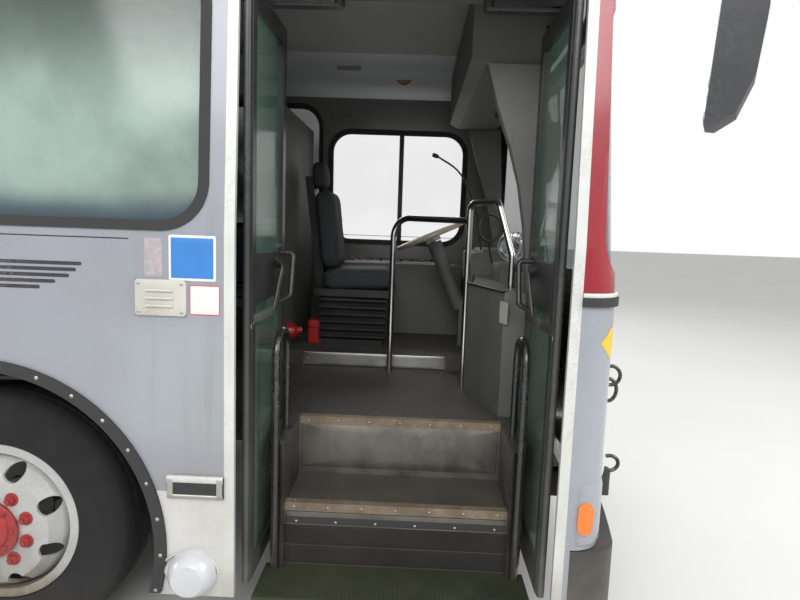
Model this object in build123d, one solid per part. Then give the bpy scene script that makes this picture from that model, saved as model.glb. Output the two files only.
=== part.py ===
from build123d import *
from math import cos, sin, radians, hypot, atan2
import os

os.makedirs("parts", exist_ok=True)

# City bus, high floor, two axles. Millimetres, +X forward, +Y left, +Z up, doors on the -Y side.
# Lengthwise sizes are taken from the front axle, and the origin is under the middle of the whole bus.

# Running gear
wheelbase = 7087
front_overhang = 2450
rear_overhang = 2903
mirror_reach = 2625
tyre_r = 505
tyre_w = 288
wheel_z = 505
rim_r = 299
rim_w = 236
twin_pitch = 330
wheel_face_in = 60
wheel_offset = 165
hub_r = 110
kingpin_y = 955
hub_bore_r = 42
running_gap = 0.05
moving_gap = 7

# Body shell
half_width = 1295
skirt_z = 300
belt_z = 1430
sill_z = 1630
roof_split_z = 2600
eave_z = 2890
crown_z = 2990
ceiling_z = 2850
wall_t = 60
lean = 0.0577
eave_r = 280
nose_from_axle = 2375
corner_from_axle = 2150
front_corner_r = 120
rake = 0.0735
brow_r = 210
rear_corner_r = 190
tail_in = 105
front_cap_from_axle = 2126
rear_cap_len = 420
arch_r = 640
arch_z = 480
trim_gap = 0.3

# Bumpers
bumper_z0 = 310
bumper_z1 = 540
bumper_t = 85
bumper_corner_out = 60
bumper_side_from_axle = 2145

# Floor and steps
floor_z = 820
floor_t = 45
tread_z = 560
platform_z = 300
platform_t = 30
step_t = 25
riser_out = 240
riser_in = 546
well_end_in = 640

# Entry and exit doorways
portal_z = 2600
entry_rear_from_axle = 892
entry_front_from_axle = 2126
jamb_w = 36
jamb_t = 20
leaf_in = 55
leaf_t = 34
leaf_z = 320
leaf_top_z = 2490
leaf_side_gap = 24
leaf_mid_gap = 5
leaf_frame_w = 48
leaf_edge_w = 26
rail_low_z = 1375
rail_high_z = 1560
glass_t = 8
step_from_jamb = 132
side_box_w = 72
exit_centre_from_rear_axle = 1590
exit_w = 900

# Windows
window_w = 1400
window_h = 926
window_r = 170
gasket_w = 36
gasket_t = 30
gasket_proud = 6
window_pitch = 1500
first_window_from_axle = 838
right_window_count = 4
left_window_count = 6
driver_window_w = 1040
driver_window_h = 850
driver_window_z = 1540

# Driver's place
platform_rise = 90
driver_y = 650
drive_platform_y = 235
wheel_ring_r = 228
wheel_ring_tube = 15
steer_tilt = 24

# Frame and engine
rail_y = 430
rail_w = 80
rail_h = 160
rail_top_z = 750
engine_l = 1150
engine_w = 800
engine_h = 900

# Places along the bus
axle_f = (wheelbase + rear_overhang - mirror_reach) / 2
axle_r = axle_f - wheelbase
tail_x = axle_r - rear_overhang + tail_in
nose_x = axle_f + nose_from_axle
corner_x = axle_f + corner_from_axle
bumper_front_x = axle_f + front_overhang
bumper_rear_x = axle_r - rear_overhang
front_cap_x = axle_f + front_cap_from_axle
rear_cap_x = tail_x + rear_cap_len
engine_x0 = tail_x + 190
bulkhead_x = engine_x0 + engine_l + 80
wheel_y = half_width - wheel_face_in - tyre_w / 2
sides = (("left", 1), ("right", -1))


def save(shape, node):
    """Write one node from a solid or a list of solids."""
    export_step(Compound(children=shape) if isinstance(shape, list) else shape, f"parts/{node}.step")


def block(x0, x1, y0, y1, z0, z1):
    """A straight block between two corners."""
    return Pos((x0 + x1) / 2, (y0 + y1) / 2, (z0 + z1) / 2) * Box(abs(x1 - x0), abs(y1 - y0), abs(z1 - z0))


def along_y(face, y0, y1):
    """A profile drawn in X and Z, carried from y0 to y1."""
    return extrude(Plane((0, y1, 0), x_dir=(1, 0, 0), z_dir=(0, -1, 0)) * face, y1 - y0)


def along_x(face, x0, x1):
    """A profile drawn in Y and Z, carried from x0 to x1."""
    return extrude(Plane((x0, 0, 0), x_dir=(0, 1, 0), z_dir=(1, 0, 0)) * face, x1 - x0)


def along_z(face, z0, z1):
    """A profile drawn in X and Y, carried from z0 to z1."""
    return extrude(Plane((0, 0, z0)) * face, z1 - z0)


def outline(*points):
    """A closed straight-sided profile."""
    return make_face(Polyline(*points, close=True))


def tube(radius, points, corner=60):
    """A round bar along straight runs with tangent arcs."""
    path = FilletPolyline(*points, radius=corner) if len(points) > 2 else Line(*points)
    return sweep(Plane(path @ 0, z_dir=path % 0) * Circle(radius), path)


def turn_y(points):
    """A ring about the Y axis from (radius, y) points."""
    return revolve(outline(*points), Axis.Y)


def lean_plane(side):
    """The plane of the leaning window wall: local x along the bus, local y up, z outwards."""
    tilt = hypot(1, lean)
    return Plane((0, side * half_width, sill_z), x_dir=(-side, 0, 0), z_dir=(0, side / tilt, lean / tilt))


# Body shell
def bow_radius(nose, corner):
    """Radius of the nose's bow, tangent to both corner arcs."""
    y_c = half_width - front_corner_r
    reach = nose - corner
    return (reach ** 2 + y_c ** 2 - front_corner_r ** 2) / (2 * (reach - front_corner_r))


def bow_drop(y, nose, corner, inset):
    """How far the bowed nose stands back at a distance y from the middle."""
    r = bow_radius(nose, corner) - inset
    return inset + r - (r ** 2 - y ** 2) ** 0.5


def plan(inset, nose=nose_x, corner=corner_x):
    """The bus from above: rounded rear corners, round front corners and a bowed nose."""
    y_c = half_width - front_corner_r
    bow_r = bow_radius(nose, corner)
    bow_x = nose - bow_r
    angle = atan2(y_c, corner - bow_x)
    touch = (bow_x + (bow_r - inset) * cos(angle), (bow_r - inset) * sin(angle))
    half_turn = (angle + radians(90)) / 2
    small = front_corner_r - inset
    bend = (corner + small * cos(half_turn), y_c + small * sin(half_turn))
    tail_r = rear_corner_r - inset
    tail_c = tail_x + rear_corner_r
    tail_y = half_width - rear_corner_r
    diagonal = tail_r * cos(radians(45))
    y_side = half_width - inset
    edges = []
    for s in (1, -1):
        edges.append(Line((tail_c, s * y_side), (corner, s * y_side)))
        edges.append(ThreePointArc((corner, s * y_side), (bend[0], s * bend[1]), (touch[0], s * touch[1])))
        edges.append(ThreePointArc((tail_c, s * y_side), (tail_c - diagonal, s * (tail_y + diagonal)),
                                   (tail_x + inset, s * tail_y)))
    edges.append(ThreePointArc((touch[0], touch[1]), (nose - inset, 0), (touch[0], -touch[1])))
    edges.append(Line((tail_x + inset, tail_y), (tail_x + inset, -tail_y)))
    return make_face(edges)


def section(inset, top, low):
    """The bus from the front: upright sides, leaning window walls and a round-shouldered roof."""
    y_side = half_width - inset
    drop = crown_z - top
    y_eave = y_side - (eave_z - drop - sill_z) * lean
    rim = Polyline((-y_eave, eave_z - drop), (-y_side, sill_z), (-y_side, low), (y_side, low),
                   (y_side, sill_z), (y_eave, eave_z - drop))
    roof = ThreePointArc((y_eave, eave_z - drop), (0, top), (-y_eave, eave_z - drop))
    face = make_face(rim + roof)
    eaves = [v for v in face.vertices() if abs(v.Y - (eave_z - drop)) < 1]
    return fillet(eaves, eave_r - inset)


def side_profile(inset, top, low):
    """The bus from the side: a round brow over the windscreen and a round tail edge."""
    x0 = tail_x + inset
    x1 = nose_x - inset - (top - belt_z) * rake
    face = outline((x0, low), (nose_x + 400, low), (nose_x + 400, belt_z), (x1, top), (x0, top))
    corners = [v for v in face.vertices() if v.Y > top - 1]
    return fillet(corners, brow_r - inset)


def body_solid(inset, top, low):
    """The body filled solid, kept inset from its outer skin."""
    upright = along_z(plan(inset), low, top + 10)
    tall = top + 10 - belt_z
    raked = extrude(Plane((0, 0, belt_z)) * plan(inset), tall * hypot(1, rake), dir=(-rake, 0, 1))
    lower = upright & block(tail_x, nose_x, -half_width, half_width, low, belt_z)
    upper = upright & raked
    body = lower + upper
    body = body & along_x(section(inset, top, low), tail_x - 10, nose_x + 10)
    return body & along_y(side_profile(inset, top, low), -half_width, half_width)


outer = body_solid(0, crown_z, skirt_z)
inner = body_solid(wall_t, ceiling_z, skirt_z - 10)
shell = outer - inner

far = half_width + 200
roof_zone = block(rear_cap_x, front_cap_x, -far, far, roof_split_z, crown_z + 50)

entry_rear_x = axle_f + entry_rear_from_axle
entry_front_x = axle_f + entry_front_from_axle
exit_x = axle_r + exit_centre_from_rear_axle
doorways = {"entry": (entry_rear_x, entry_front_x), "exit": (exit_x - exit_w / 2, exit_x + exit_w / 2)}


def leaf_length(x0, x1):
    """Length of each of a doorway's two leaves."""
    return (x1 - x0) / 2 - jamb_w - leaf_side_gap - leaf_mid_gap


def leaf_shaft(x_closed, leaf_l, toward):
    """Axis of a leaf that swings about an overhead shaft half a leaf in from its closed line."""
    return (x_closed + toward * leaf_l / 2, -half_width + leaf_in + leaf_l / 2)


def window_centres(side):
    """Middles of the passenger windows of one side, from the front back."""
    first = axle_f + first_window_from_axle - window_w / 2
    count = left_window_count if side > 0 else right_window_count
    rows = [first - n * window_pitch for n in range(count)]
    if side < 0:
        rows = [x for x in rows if x - window_w / 2 > doorways["exit"][1] + 60]
        behind = doorways["exit"][0] - 60 - window_w / 2
        rows += [behind - n * window_pitch for n in range(2)]
    return rows


def window_set(side):
    """(middle, width, height, middle height above the sill) of each window of one side."""
    rows = [(x, window_w, window_h, window_h / 2 + 5) for x in window_centres(side)]
    if side > 0:
        middle = axle_f + 1393
        rows.append((middle, driver_window_w, driver_window_h, driver_window_z + driver_window_h / 2 - sill_z))
    return rows


def in_window(side, row, inset, z0, z1):
    """A rounded block in a window opening, inset from its edge, between two depths along the wall's normal."""
    x, w, h, up = row
    corner = min(window_r, h / 3) - inset
    pane = RectangleRounded(w - 2 * inset, h - 2 * inset, corner)
    return extrude(lean_plane(side) * Pos(-side * x, up, z0) * pane, z1 - z0)


panes = []
gaskets = []
for name, side in sides:
    wall_top_y = side * (half_width - (roof_split_z - sill_z) * lean)
    inner_y = side * (half_width - wall_t)
    profile = outline((side * half_width, skirt_z), (side * half_width, sill_z), (wall_top_y, roof_split_z),
                      (wall_top_y - side * wall_t, roof_split_z), (inner_y, sill_z), (inner_y, skirt_z))
    wall = along_x(profile, rear_cap_x, front_cap_x)
    for row in window_set(side):
        wall -= in_window(side, row, 0, -150, 60)
        gaskets.append(in_window(side, row, 0, -gasket_t, gasket_proud)
                       - in_window(side, row, gasket_w, -gasket_t - 5, gasket_proud + 5))
        panes.append(in_window(side, row, gasket_w + trim_gap, -22, -22 + glass_t))
    for x in (axle_f, axle_r):
        wall -= Pos(x, side * half_width, arch_z) * Rot(90, 0, 0) * Cylinder(arch_r, 400)
        wall -= block(x - arch_r, x + arch_r, side * half_width - 200, side * half_width + 200, 0, arch_z)
    if side < 0:
        for x0, x1 in doorways.values():
            wall -= block(x0, x1, -far, -half_width + 200, 0, portal_z)
    save(wall, f"wall_{name}")

# Roof with two hatches
hatch_l = 620
hatch_w = 620
hatch_t = 30
hatch_lip = 40
barrel_r = 8
roof = shell & roof_zone
hatch_places = {"front": axle_f - 900, "rear": axle_r + 700}
for place, x in hatch_places.items():
    opening = block(x - hatch_l / 2, x + hatch_l / 2, -hatch_w / 2, hatch_w / 2, ceiling_z - 100, crown_z + 50)
    roof -= opening
    lid = block(x - hatch_l / 2 - hatch_lip, x + hatch_l / 2 + hatch_lip,
                -hatch_w / 2 - hatch_lip, hatch_w / 2 + hatch_lip, crown_z + 1, crown_z + 1 + hatch_t)
    lid = fillet(lid.edges().filter_by(Axis.Z), 60)
    lid = chamfer(lid.faces().sort_by(Axis.Z)[-1].edges(), 12)
    for y in (-180, 180):
        edge_x = x + hatch_l / 2 + hatch_lip
        lid += Pos(edge_x + barrel_r, y, crown_z + 1 + barrel_r) * Rot(90, 0, 0) * Cylinder(barrel_r, 80)
        lid += block(edge_x - 30, edge_x + barrel_r, y - 40, y + 40, crown_z + 3, crown_z + 7)
    save(lid, f"roof_hatch_{place}")
save(roof, "roof")

# Front cap: windscreen, sign window, lamp recesses
screen_low = 1480
screen_high = 2440
screen_start = 50
screen_lean = -30
screen_low_r = 200
screen_high_r = 60
sign_half = 880
sign_low = 2520
sign_high = 2760
front_skin = shell & block(front_cap_x, nose_x + 100, -far, far, 0, crown_z + 50)


def screen_prism(inset):
    """The windscreen's outline seen from the side, round at its rear corners, carried across the nose."""
    x0 = corner_x + screen_start + inset
    x1 = x0 + screen_lean
    z0 = screen_low + inset
    z1 = screen_high - inset
    face = outline((x0, z0), (x1, z1), (nose_x + 300, z1), (nose_x + 300, z0))
    for corner, radius in (((x0, z0), screen_low_r), ((x1, z1), screen_high_r)):
        face = fillet(face.vertices().sort_by_distance(Vector(*corner, 0))[0], radius)
    return along_y(face, -half_width, half_width)


def sign_prism(inset):
    """The sign window's outline seen from the front, carried through the nose."""
    face = Pos(0, (sign_low + sign_high) / 2) * RectangleRounded(
        2 * (sign_half - inset), sign_high - sign_low - 2 * inset, 60 - inset)
    return along_x(face, corner_x - 330, nose_x + 100)


def raked_plan(inset):
    """The raked nose's plan prism over the windscreen's height, kept inset from the skin."""
    rise = screen_high + 100 - belt_z
    return extrude(Plane((0, 0, belt_z)) * plan(inset), rise * hypot(1, rake), dir=(-rake, 0, 1))


front_cap = front_skin - screen_prism(0) - sign_prism(0)
sheet_in = 14
nose_zone = block(corner_x - 100, nose_x, -half_width, half_width, belt_z + 5, screen_high + 50)
screen_sheet = (raked_plan(sheet_in) & nose_zone) - raked_plan(sheet_in + glass_t)
screen_full = screen_sheet & screen_prism(trim_gap)
post_half = 12
screen = screen_full - block(front_cap_x - 600, nose_x + 50, -post_half, post_half, belt_z, crown_z)
sign_sheet = body_solid(sheet_in, crown_z - sheet_in, skirt_z)
sign_sheet &= block(corner_x - 330, nose_x, -far, far, sign_low - 20, crown_z)
sign_sheet -= body_solid(sheet_in + glass_t, crown_z - sheet_in - glass_t, skirt_z - 10)
sign_pane = sign_sheet & sign_prism(trim_gap)
post_y = post_half - trim_gap
post = screen_full & block(front_cap_x - 600, nose_x + 50, -post_y, post_y, belt_z, crown_z)
save(screen.solids() + sign_pane.solids(), "front_glass")
gaskets += post.solids()
entry_leaf_l = leaf_length(*doorways["entry"])
sweep_x, sweep_y = leaf_shaft(entry_front_x - jamb_w - leaf_side_gap, entry_leaf_l, -1)
sweep_r = hypot(entry_leaf_l / 2, entry_leaf_l / 2 + leaf_t / 2) + moving_gap
front_cap -= Pos(sweep_x, sweep_y, (leaf_z + leaf_top_z) / 2) * Cylinder(sweep_r, leaf_top_z - leaf_z + 40)
front_cap -= block(axle_f + bumper_side_from_axle, nose_x + 50, -far, far, 0, bumper_z1 + 4)
headlamps = [(z, s * y) for z in (760,) for y in (780, 960) for s in (1, -1)]
headlamp_r = 88
lamps = []
for z, y in headlamps:
    front_cap -= Pos(nose_x - 60, y, z) * Rot(0, 90, 0) * Cylinder(headlamp_r + trim_gap, 300)
    lamp = Pos(nose_x - 90, y, z) * Rot(0, 90, 0) * Cylinder(headlamp_r, 100)
    lamps.append(fillet(lamp.edges().group_by(Axis.X)[-1], 30))
save(front_cap, "front_cap")
bumper = along_z(plan(0, bumper_front_x, corner_x + bumper_corner_out), bumper_z0, bumper_z1)
bumper -= along_z(plan(bumper_t, bumper_front_x, corner_x + bumper_corner_out), bumper_z0 - 1, bumper_z1 + 1)
bumper &= block(axle_f + bumper_side_from_axle, bumper_front_x + 10, -far, far, 0, 1000)
rear_bumper = block(bumper_rear_x, tail_x - trim_gap, -half_width + 30, half_width - 30, 400, 580)
rear_bumper = fillet(rear_bumper.edges().filter_by(Axis.Z).group_by(Axis.X)[0], 70)

# Rear cap with the engine door's opening
engine_door_w = 1700
engine_door_low = 520
engine_door_high = 1450
rear_cap = shell & block(tail_x - 50, rear_cap_x, -far, far, 0, crown_z + 50)
door_gap = 8
hole_y = engine_door_w / 2 + door_gap
rear_cap -= block(tail_x - 20, tail_x + wall_t + 60, -hole_y, hole_y,
                  engine_door_low - door_gap, engine_door_high + door_gap)
rear_glass_w = 1500
rear_glass_low = 1700
rear_glass_high = 2350
rear_row = Pos(0, (rear_glass_low + rear_glass_high) / 2)
rear_face = rear_row * RectangleRounded(rear_glass_w, rear_glass_high - rear_glass_low, 90)
rear_cap -= along_x(rear_face, tail_x - 20, tail_x + wall_t + 50)
save(rear_cap, "rear_cap")
pane_w = rear_glass_w - 2 * gasket_w
pane_h = rear_glass_high - rear_glass_low - 2 * gasket_w
rear_pane = rear_row * RectangleRounded(pane_w, pane_h, 90 - gasket_w)
rear_ring = along_x(rear_face - rear_pane, tail_x - gasket_proud, tail_x + gasket_t)
panes.append(along_x(rear_pane, tail_x + 10, tail_x + 10 + glass_t))
gaskets.append(rear_ring)
save(gaskets, "window_gaskets")
save(panes, "side_glass")
door_y = engine_door_w / 2
engine_door = block(tail_x, tail_x + 40, -door_y, door_y, engine_door_low, engine_door_high)
slot_h = 26
slot_pitch = 60
for n in range(6):
    z = engine_door_low + 380 + n * slot_pitch
    engine_door -= block(tail_x - 5, tail_x + 45, -620, 620, z, z + slot_h)
hinge_x = tail_x - 6
hinge_z = engine_door_high + 4
for y in (-600, 0, 600):
    engine_door += Pos(hinge_x, y, hinge_z) * Rot(90, 0, 0) * Cylinder(5, 120)
    engine_door += block(hinge_x - 1, tail_x + 5, y - 60, y + 60, engine_door_high - 30, hinge_z - 5 + 2)
save(engine_door, "engine_door")


# Doorways: leaves, jambs, steps
def leaf_shapes(leaf_l):
    """A closed leaf from its jamb edge at x = 0: frame with a middle rail, soft edge, arm and shaft, glass."""
    half_t = leaf_t / 2
    x1 = leaf_l - leaf_edge_w
    frame = block(0, x1, -half_t, half_t, leaf_z, leaf_top_z)
    panes_here = []
    for z0, z1 in ((leaf_z + 70, rail_low_z), (rail_high_z, leaf_top_z - 70)):
        light = Pos(x1 / 2, (z0 + z1) / 2) * RectangleRounded(x1 - 2 * leaf_frame_w, z1 - z0, 30)
        frame -= along_y(light, -40, 40)
        panes_here.append(along_y(light, -glass_t / 2, glass_t / 2))
    edge = Pos(x1 + leaf_edge_w / 2 - 4, 0) * SlotOverall(leaf_edge_w + 6, leaf_t - 6)
    edge = along_z(edge, leaf_z, leaf_top_z)
    edge &= block(x1, leaf_l, -half_t, half_t, leaf_z, leaf_top_z)
    frame += edge
    arm_z = leaf_top_z
    arm = block(leaf_l / 2 - 22, leaf_l / 2 + 22, -half_t, leaf_l / 2, arm_z, arm_z + 14)
    shaft = Pos(leaf_l / 2, leaf_l / 2, arm_z + 30) * Cylinder(20, 60)
    handle = tube(11, [(72, half_t - 3, 1550), (72, half_t + 55, 1550), (130, half_t + 55, 1370),
                       (130, half_t - 3, 1340)], 20)
    frame = frame + arm + shaft + handle
    return frame, panes_here


def place_leaf(shape, x_jamb, toward):
    """Set a closed leaf in its doorway, the forward leaf as the mirror image."""
    if toward < 0:
        shape = shape.mirror(Plane.YZ)
    return Pos(x_jamb, -half_width + leaf_in, 0) * shape


leaf_arm_top = leaf_top_z + 60
for door, (x0, x1) in doorways.items():
    leaf_l = leaf_length(x0, x1)
    edges = (("rear", x0 + jamb_w + leaf_side_gap, 1), ("front", x1 - jamb_w - leaf_side_gap, -1))
    for part_name, x_jamb, toward in edges:
        frame, glass = leaf_shapes(leaf_l)
        frame = place_leaf(frame, x_jamb, toward)
        glass = [place_leaf(g, x_jamb, toward) for g in glass]
        if door == "entry":
            px, py = leaf_shaft(x_jamb, leaf_l, toward)
            swing = Pos(px, py, 0) * Rot(0, 0, -90 * toward) * Pos(-px, -py, 0)
            frame = swing * frame
            glass = [swing * g for g in glass]
        save(frame, f"{door}_leaf_{part_name}")
        save(glass, f"{door}_glass_{part_name}")

jambs = []
operators = []
for door, (x0, x1) in doorways.items():
    y0 = -half_width
    for xa, xb in ((x0, x0 + jamb_w), (x1 - jamb_w, x1)):
        lower = outline((y0, skirt_z), (y0 + jamb_t, skirt_z), (y0 + jamb_t, sill_z), (y0, sill_z))
        top_y = (portal_z - sill_z) * lean
        upper = outline((y0, sill_z), (y0 + jamb_t, sill_z), (y0 + top_y + jamb_t, portal_z),
                        (y0 + top_y, portal_z))
        jambs.append(along_x(lower + upper, xa, xb))
    leaf_l = leaf_length(x0, x1)
    box_y1 = y0 + leaf_in + leaf_l / 2 + 90
    case = outline((y0 + wall_t + 60, leaf_arm_top + trim_gap), (box_y1, leaf_arm_top + trim_gap),
                   (box_y1 + 60, leaf_arm_top + 120), (box_y1 + 60, ceiling_z - 90),
                   (y0 + wall_t + 260, ceiling_z - 90), (y0 + wall_t + 105, ceiling_z - 180))
    operators.append(along_x(case, x0 - 60, x1 - 10))
save(jambs, "door_jambs")

wells = []
platforms = []
nosings = []
for door, (x0, x1) in doorways.items():
    y0 = -half_width
    sx0 = x0 + jamb_w + step_from_jamb
    sx1 = x1 - jamb_w - step_from_jamb
    low = platform_z - platform_t
    y_out = y0 + riser_out
    y_in = y0 + riser_in
    y_end = y0 + well_end_in
    stair = outline((y_out, low), (y_out, tread_z), (y_in, tread_z), (y_in, floor_z), (y_end, floor_z),
                    (y_end, floor_z - step_t), (y_in + step_t, floor_z - step_t),
                    (y_in + step_t, tread_z - step_t), (y_out + step_t, tread_z - step_t), (y_out + step_t, low))
    well = along_x(stair, sx0, sx1)
    for xa, xb in ((sx0 - side_box_w, sx0), (sx1, sx1 + side_box_w)):
        outer_x = xa if xa < sx0 else xb
        inner_x = xb if xa < sx0 else xa
        cheek = outline((inner_x, y_out - 50), (outer_x, y_out + 70), (outer_x, y_end), (inner_x, y_end))
        well += along_z(cheek, platform_z + trim_gap, floor_z)
    wells.append(well)
    for xa, xb in ((x0 - 80, sx0 - side_box_w), (sx1 + side_box_w, x1 + 80)):
        wells.append(block(xa, xb, y_end + trim_gap, y_end + 20, low, floor_z))
    platforms.append(block(sx0 - side_box_w + 2, sx1 + side_box_w - 2, y0 + 8, y_out - trim_gap, low, platform_z))
    nosing_w = 32
    for z, y in ((floor_z, y_in), (tread_z, y_out)):
        lip = outline((y - 5, z - 30), (y - 5, z + 5), (y + nosing_w, z + 5), (y + nosing_w, z), (y, z),
                      (y, z - 30))
        nosings.append(along_x(lip, sx0 + 2, sx1 - 2))
save(wells, "stepwells")
save(platforms, "lift_platform")
save(nosings, "step_nosings")

# Hairpin handrails of the lift, one each side of the entry steps
entry_sx0 = entry_rear_x + jamb_w + step_from_jamb
entry_sx1 = entry_front_x - jamb_w - step_from_jamb
hairpin_r = 16
hairpin_top = 1265
loops = []
for x in (entry_sx0 - 30, entry_sx1 + 30):
    y_a = -half_width + 205
    y_b = -half_width + 400
    loop = tube(hairpin_r, [(x, y_a, platform_z + trim_gap), (x, y_a, hairpin_top), (x, y_b, hairpin_top - 30),
                            (x, y_b, floor_z + trim_gap)], 90)
    loops.append(loop)
save(loops, "lift_handrails")

# Floor with wells and wheel housings cut out
house_in = {"front": 600, "rear": wheel_y - twin_pitch - tyre_w / 2 - 35}
house_len = {"front": 630, "rear": 560}
house_top = 1085
house_t = 12
floor = block(bulkhead_x, axle_f + 2230, -half_width + wall_t, half_width - wall_t, floor_z - floor_t, floor_z)
floor &= along_z(plan(wall_t + 1), 0, 2000)
for x0, x1 in doorways.values():
    floor -= block(x0 - 80, x1 + 80, -half_width, -half_width + well_end_in + 20, 0, floor_z + 10)
housings = []
for name, side in sides:
    for end, x in (("front", axle_f), ("rear", axle_r)):
        half_l = house_len[end]
        y_in = side * house_in[end]
        y_out = side * (half_width - wall_t)
        lo, hi = min(y_in, y_out), max(y_in, y_out)
        floor -= block(x - half_l, x + half_l, lo, hi, 0, floor_z + 10)
        top = outline((x - half_l, floor_z - floor_t - 80), (x - half_l, house_top), (x + half_l, house_top),
                      (x + half_l, floor_z - floor_t - 80))
        top = fillet([v for v in top.vertices() if v.Y > house_top - 1], 190)
        void = outline((x - half_l + house_t, 0), (x - half_l + house_t, house_top - house_t),
                       (x + half_l - house_t, house_top - house_t), (x + half_l - house_t, 0))
        void = fillet([v for v in void.vertices() if v.Y > house_top - house_t - 1], 178)
        box_here = along_y(top, lo, hi)
        box_here -= along_y(void, lo + (house_t if side > 0 else -5), hi - (house_t if side < 0 else -5))
        housings.append(box_here)
save(housings, "wheel_housings")

# Chassis frame
frame_x0 = tail_x + 120
frame_x1 = nose_x - 320
rails = None
for s in (1, -1):
    y = s * rail_y
    rail = block(frame_x0, frame_x1, y - rail_w / 2, y + rail_w / 2, rail_top_z - rail_h, rail_top_z)
    rails = rail if rails is None else rails + rail
mid_x = (axle_f + axle_r) / 2
for x in (frame_x0 + 60, axle_r - 900, axle_r + 900, mid_x, axle_f - 900, axle_f + 850, frame_x1 - 60):
    rails += block(x - 40, x + 40, -rail_y, rail_y, rail_top_z - 150, rail_top_z - 10)
for x in (axle_r - 900, axle_r + 760, mid_x, mid_x + 1500, axle_f - 760):
    for s in (1, -1):
        y1 = s * (half_width - wall_t)
        y0 = s * (rail_y + rail_w / 2)
        if s > 0 or abs(x - exit_x) > exit_w / 2 + 140:
            rails += block(x - 30, x + 30, min(y0, y1), max(y0, y1), rail_top_z - 90, rail_top_z)
tow_r = 24
tow_t = 30
tow_x = frame_x1 - 130
tow_z = 505
bumper_back = (bumper_front_x - trim_gap
               - bow_drop(rail_y + tow_t, bumper_front_x, corner_x + bumper_corner_out, bumper_t))
for s in (1, -1):
    y = s * rail_y
    lug = block(tow_x - 60, frame_x1 - 50, y - 50, y + 50, tow_z - tow_t / 2, tow_z + tow_t / 2)
    lug = fillet(lug.edges().filter_by(Axis.Z).group_by(Axis.X)[0], 45)
    lug -= Pos(tow_x, y, tow_z) * Cylinder(tow_r, 100)
    horn = block(frame_x1 - 60, frame_x1, y - tow_t, y + tow_t, bumper_z0 + 60, rail_top_z - rail_h + 2)
    horn += block(frame_x1 - 1, bumper_back, y - tow_t, y + tow_t,
                  bumper_z0 + 60, bumper_z1 - 40)
    rails += lug + horn
save(rails, "chassis_frame")

# Axles and knuckles
beam_drop_z = 360
beam_w = 90
beam_h = 105
eye_r = 52
eye_h = 110
pin_r = 24
beam_line = [(-kingpin_y, wheel_z), (-kingpin_y + 130, wheel_z), (-rail_y - 150, beam_drop_z),
             (rail_y + 150, beam_drop_z), (kingpin_y - 130, wheel_z), (kingpin_y, wheel_z)]
upper_line = [(y, z + beam_h / 2) for y, z in beam_line]
lower_line = [(y, z - beam_h / 2) for y, z in reversed(beam_line)]
beam = along_x(outline(*(upper_line + lower_line)), axle_f - beam_w / 2, axle_f + beam_w / 2)
web_cut = along_x(outline(*([(y, z + beam_h / 2 - 22) for y, z in beam_line[1:5]]
                            + [(y, z - beam_h / 2 + 22) for y, z in reversed(beam_line[1:5])])), 15, beam_w)
beam -= Pos(axle_f, 0, 0) * web_cut
beam -= Pos(axle_f - beam_w - 15, 0, 0) * web_cut
for s in (1, -1):
    eye = Pos(axle_f, s * kingpin_y, wheel_z) * Cylinder(eye_r, eye_h)
    beam += eye
for s in (1, -1):
    beam -= Pos(axle_f, s * kingpin_y, wheel_z) * Cylinder(pin_r + running_gap, 300)
    beam += block(axle_f - 70, axle_f + 70, s * rail_y - 45, s * rail_y + 45,
                  beam_drop_z + beam_h / 2 - 1, rail_top_z - rail_h)
save(beam, "front_axle")

ear_h = 34
ear_gap = 1
spindle_r = hub_bore_r - running_gap
for name, s in sides:
    pin = Pos(axle_f, s * kingpin_y, wheel_z) * Cylinder(pin_r, eye_h + 2 * ear_gap + 2 * ear_h)
    knuckle = pin
    for up in (1, -1):
        z = wheel_z + up * (eye_h / 2 + ear_gap + ear_h / 2)
        ear = Pos(axle_f, s * kingpin_y, z) * Cylinder(eye_r, ear_h)
        web = block(axle_f - 45, axle_f + 45, s * kingpin_y, s * (kingpin_y + 82), z - ear_h / 2, z + ear_h / 2)
        knuckle += ear + web
    flange = block(axle_f - 60, axle_f + 60, s * (kingpin_y + 60), s * (kingpin_y + 85),
                   wheel_z - 100, wheel_z + 100)
    spindle_out = wheel_y + wheel_offset - 30
    spindle = Pos(axle_f, s * (kingpin_y + 85 + spindle_out) / 2, wheel_z) * Rot(90, 0, 0)
    spindle = spindle * Cylinder(spindle_r, spindle_out - kingpin_y - 85)
    knuckle += flange + spindle
    save(knuckle, f"knuckle_{name}")

# Rear axle: banjo housing, tubes and spring seats
banjo = Pos(axle_r, 0, wheel_z) * Rot(90, 0, 0) * Cylinder(205, 190)
banjo = fillet(banjo.edges(), 40)
tube_end_y = wheel_y - twin_pitch / 2 - 115
rear_spindle_out = wheel_y - twin_pitch / 2 + 60
rear_axle = banjo + Pos(axle_r, 0, wheel_z) * Rot(90, 0, 0) * Cylinder(72, 2 * tube_end_y)
rear_axle += Pos(axle_r, 0, wheel_z) * Rot(90, 0, 0) * Cylinder(spindle_r, 2 * rear_spindle_out)
for s in (1, -1):
    rear_axle += block(axle_r - 70, axle_r + 70, s * rail_y - 45, s * rail_y + 45, wheel_z, rail_top_z - rail_h)
save(rear_axle, "rear_axle")

# Wheels
bead_seat_r = rim_r - 12
flange_r = rim_r + 8
flange_in = 13
barrel_t = 13
disc_t = 11
hand_hole_r = 32
hand_hole_circle = 226
hand_holes = 8


def tyre_ring():
    """A tyre about the Y axis, seated between the rim flanges."""
    h = tyre_w / 2
    seat = rim_w / 2 - flange_in - 1
    half = [(bead_seat_r + trim_gap, seat), (flange_r + 1, seat), (flange_r + 1, seat + 22), (tyre_r - 115, h),
            (tyre_r - 42, h - 8), (tyre_r - 8, h - 24), (tyre_r, h - 52)]
    return turn_y(half + [(r, -y) for r, y in reversed(half)])


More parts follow.
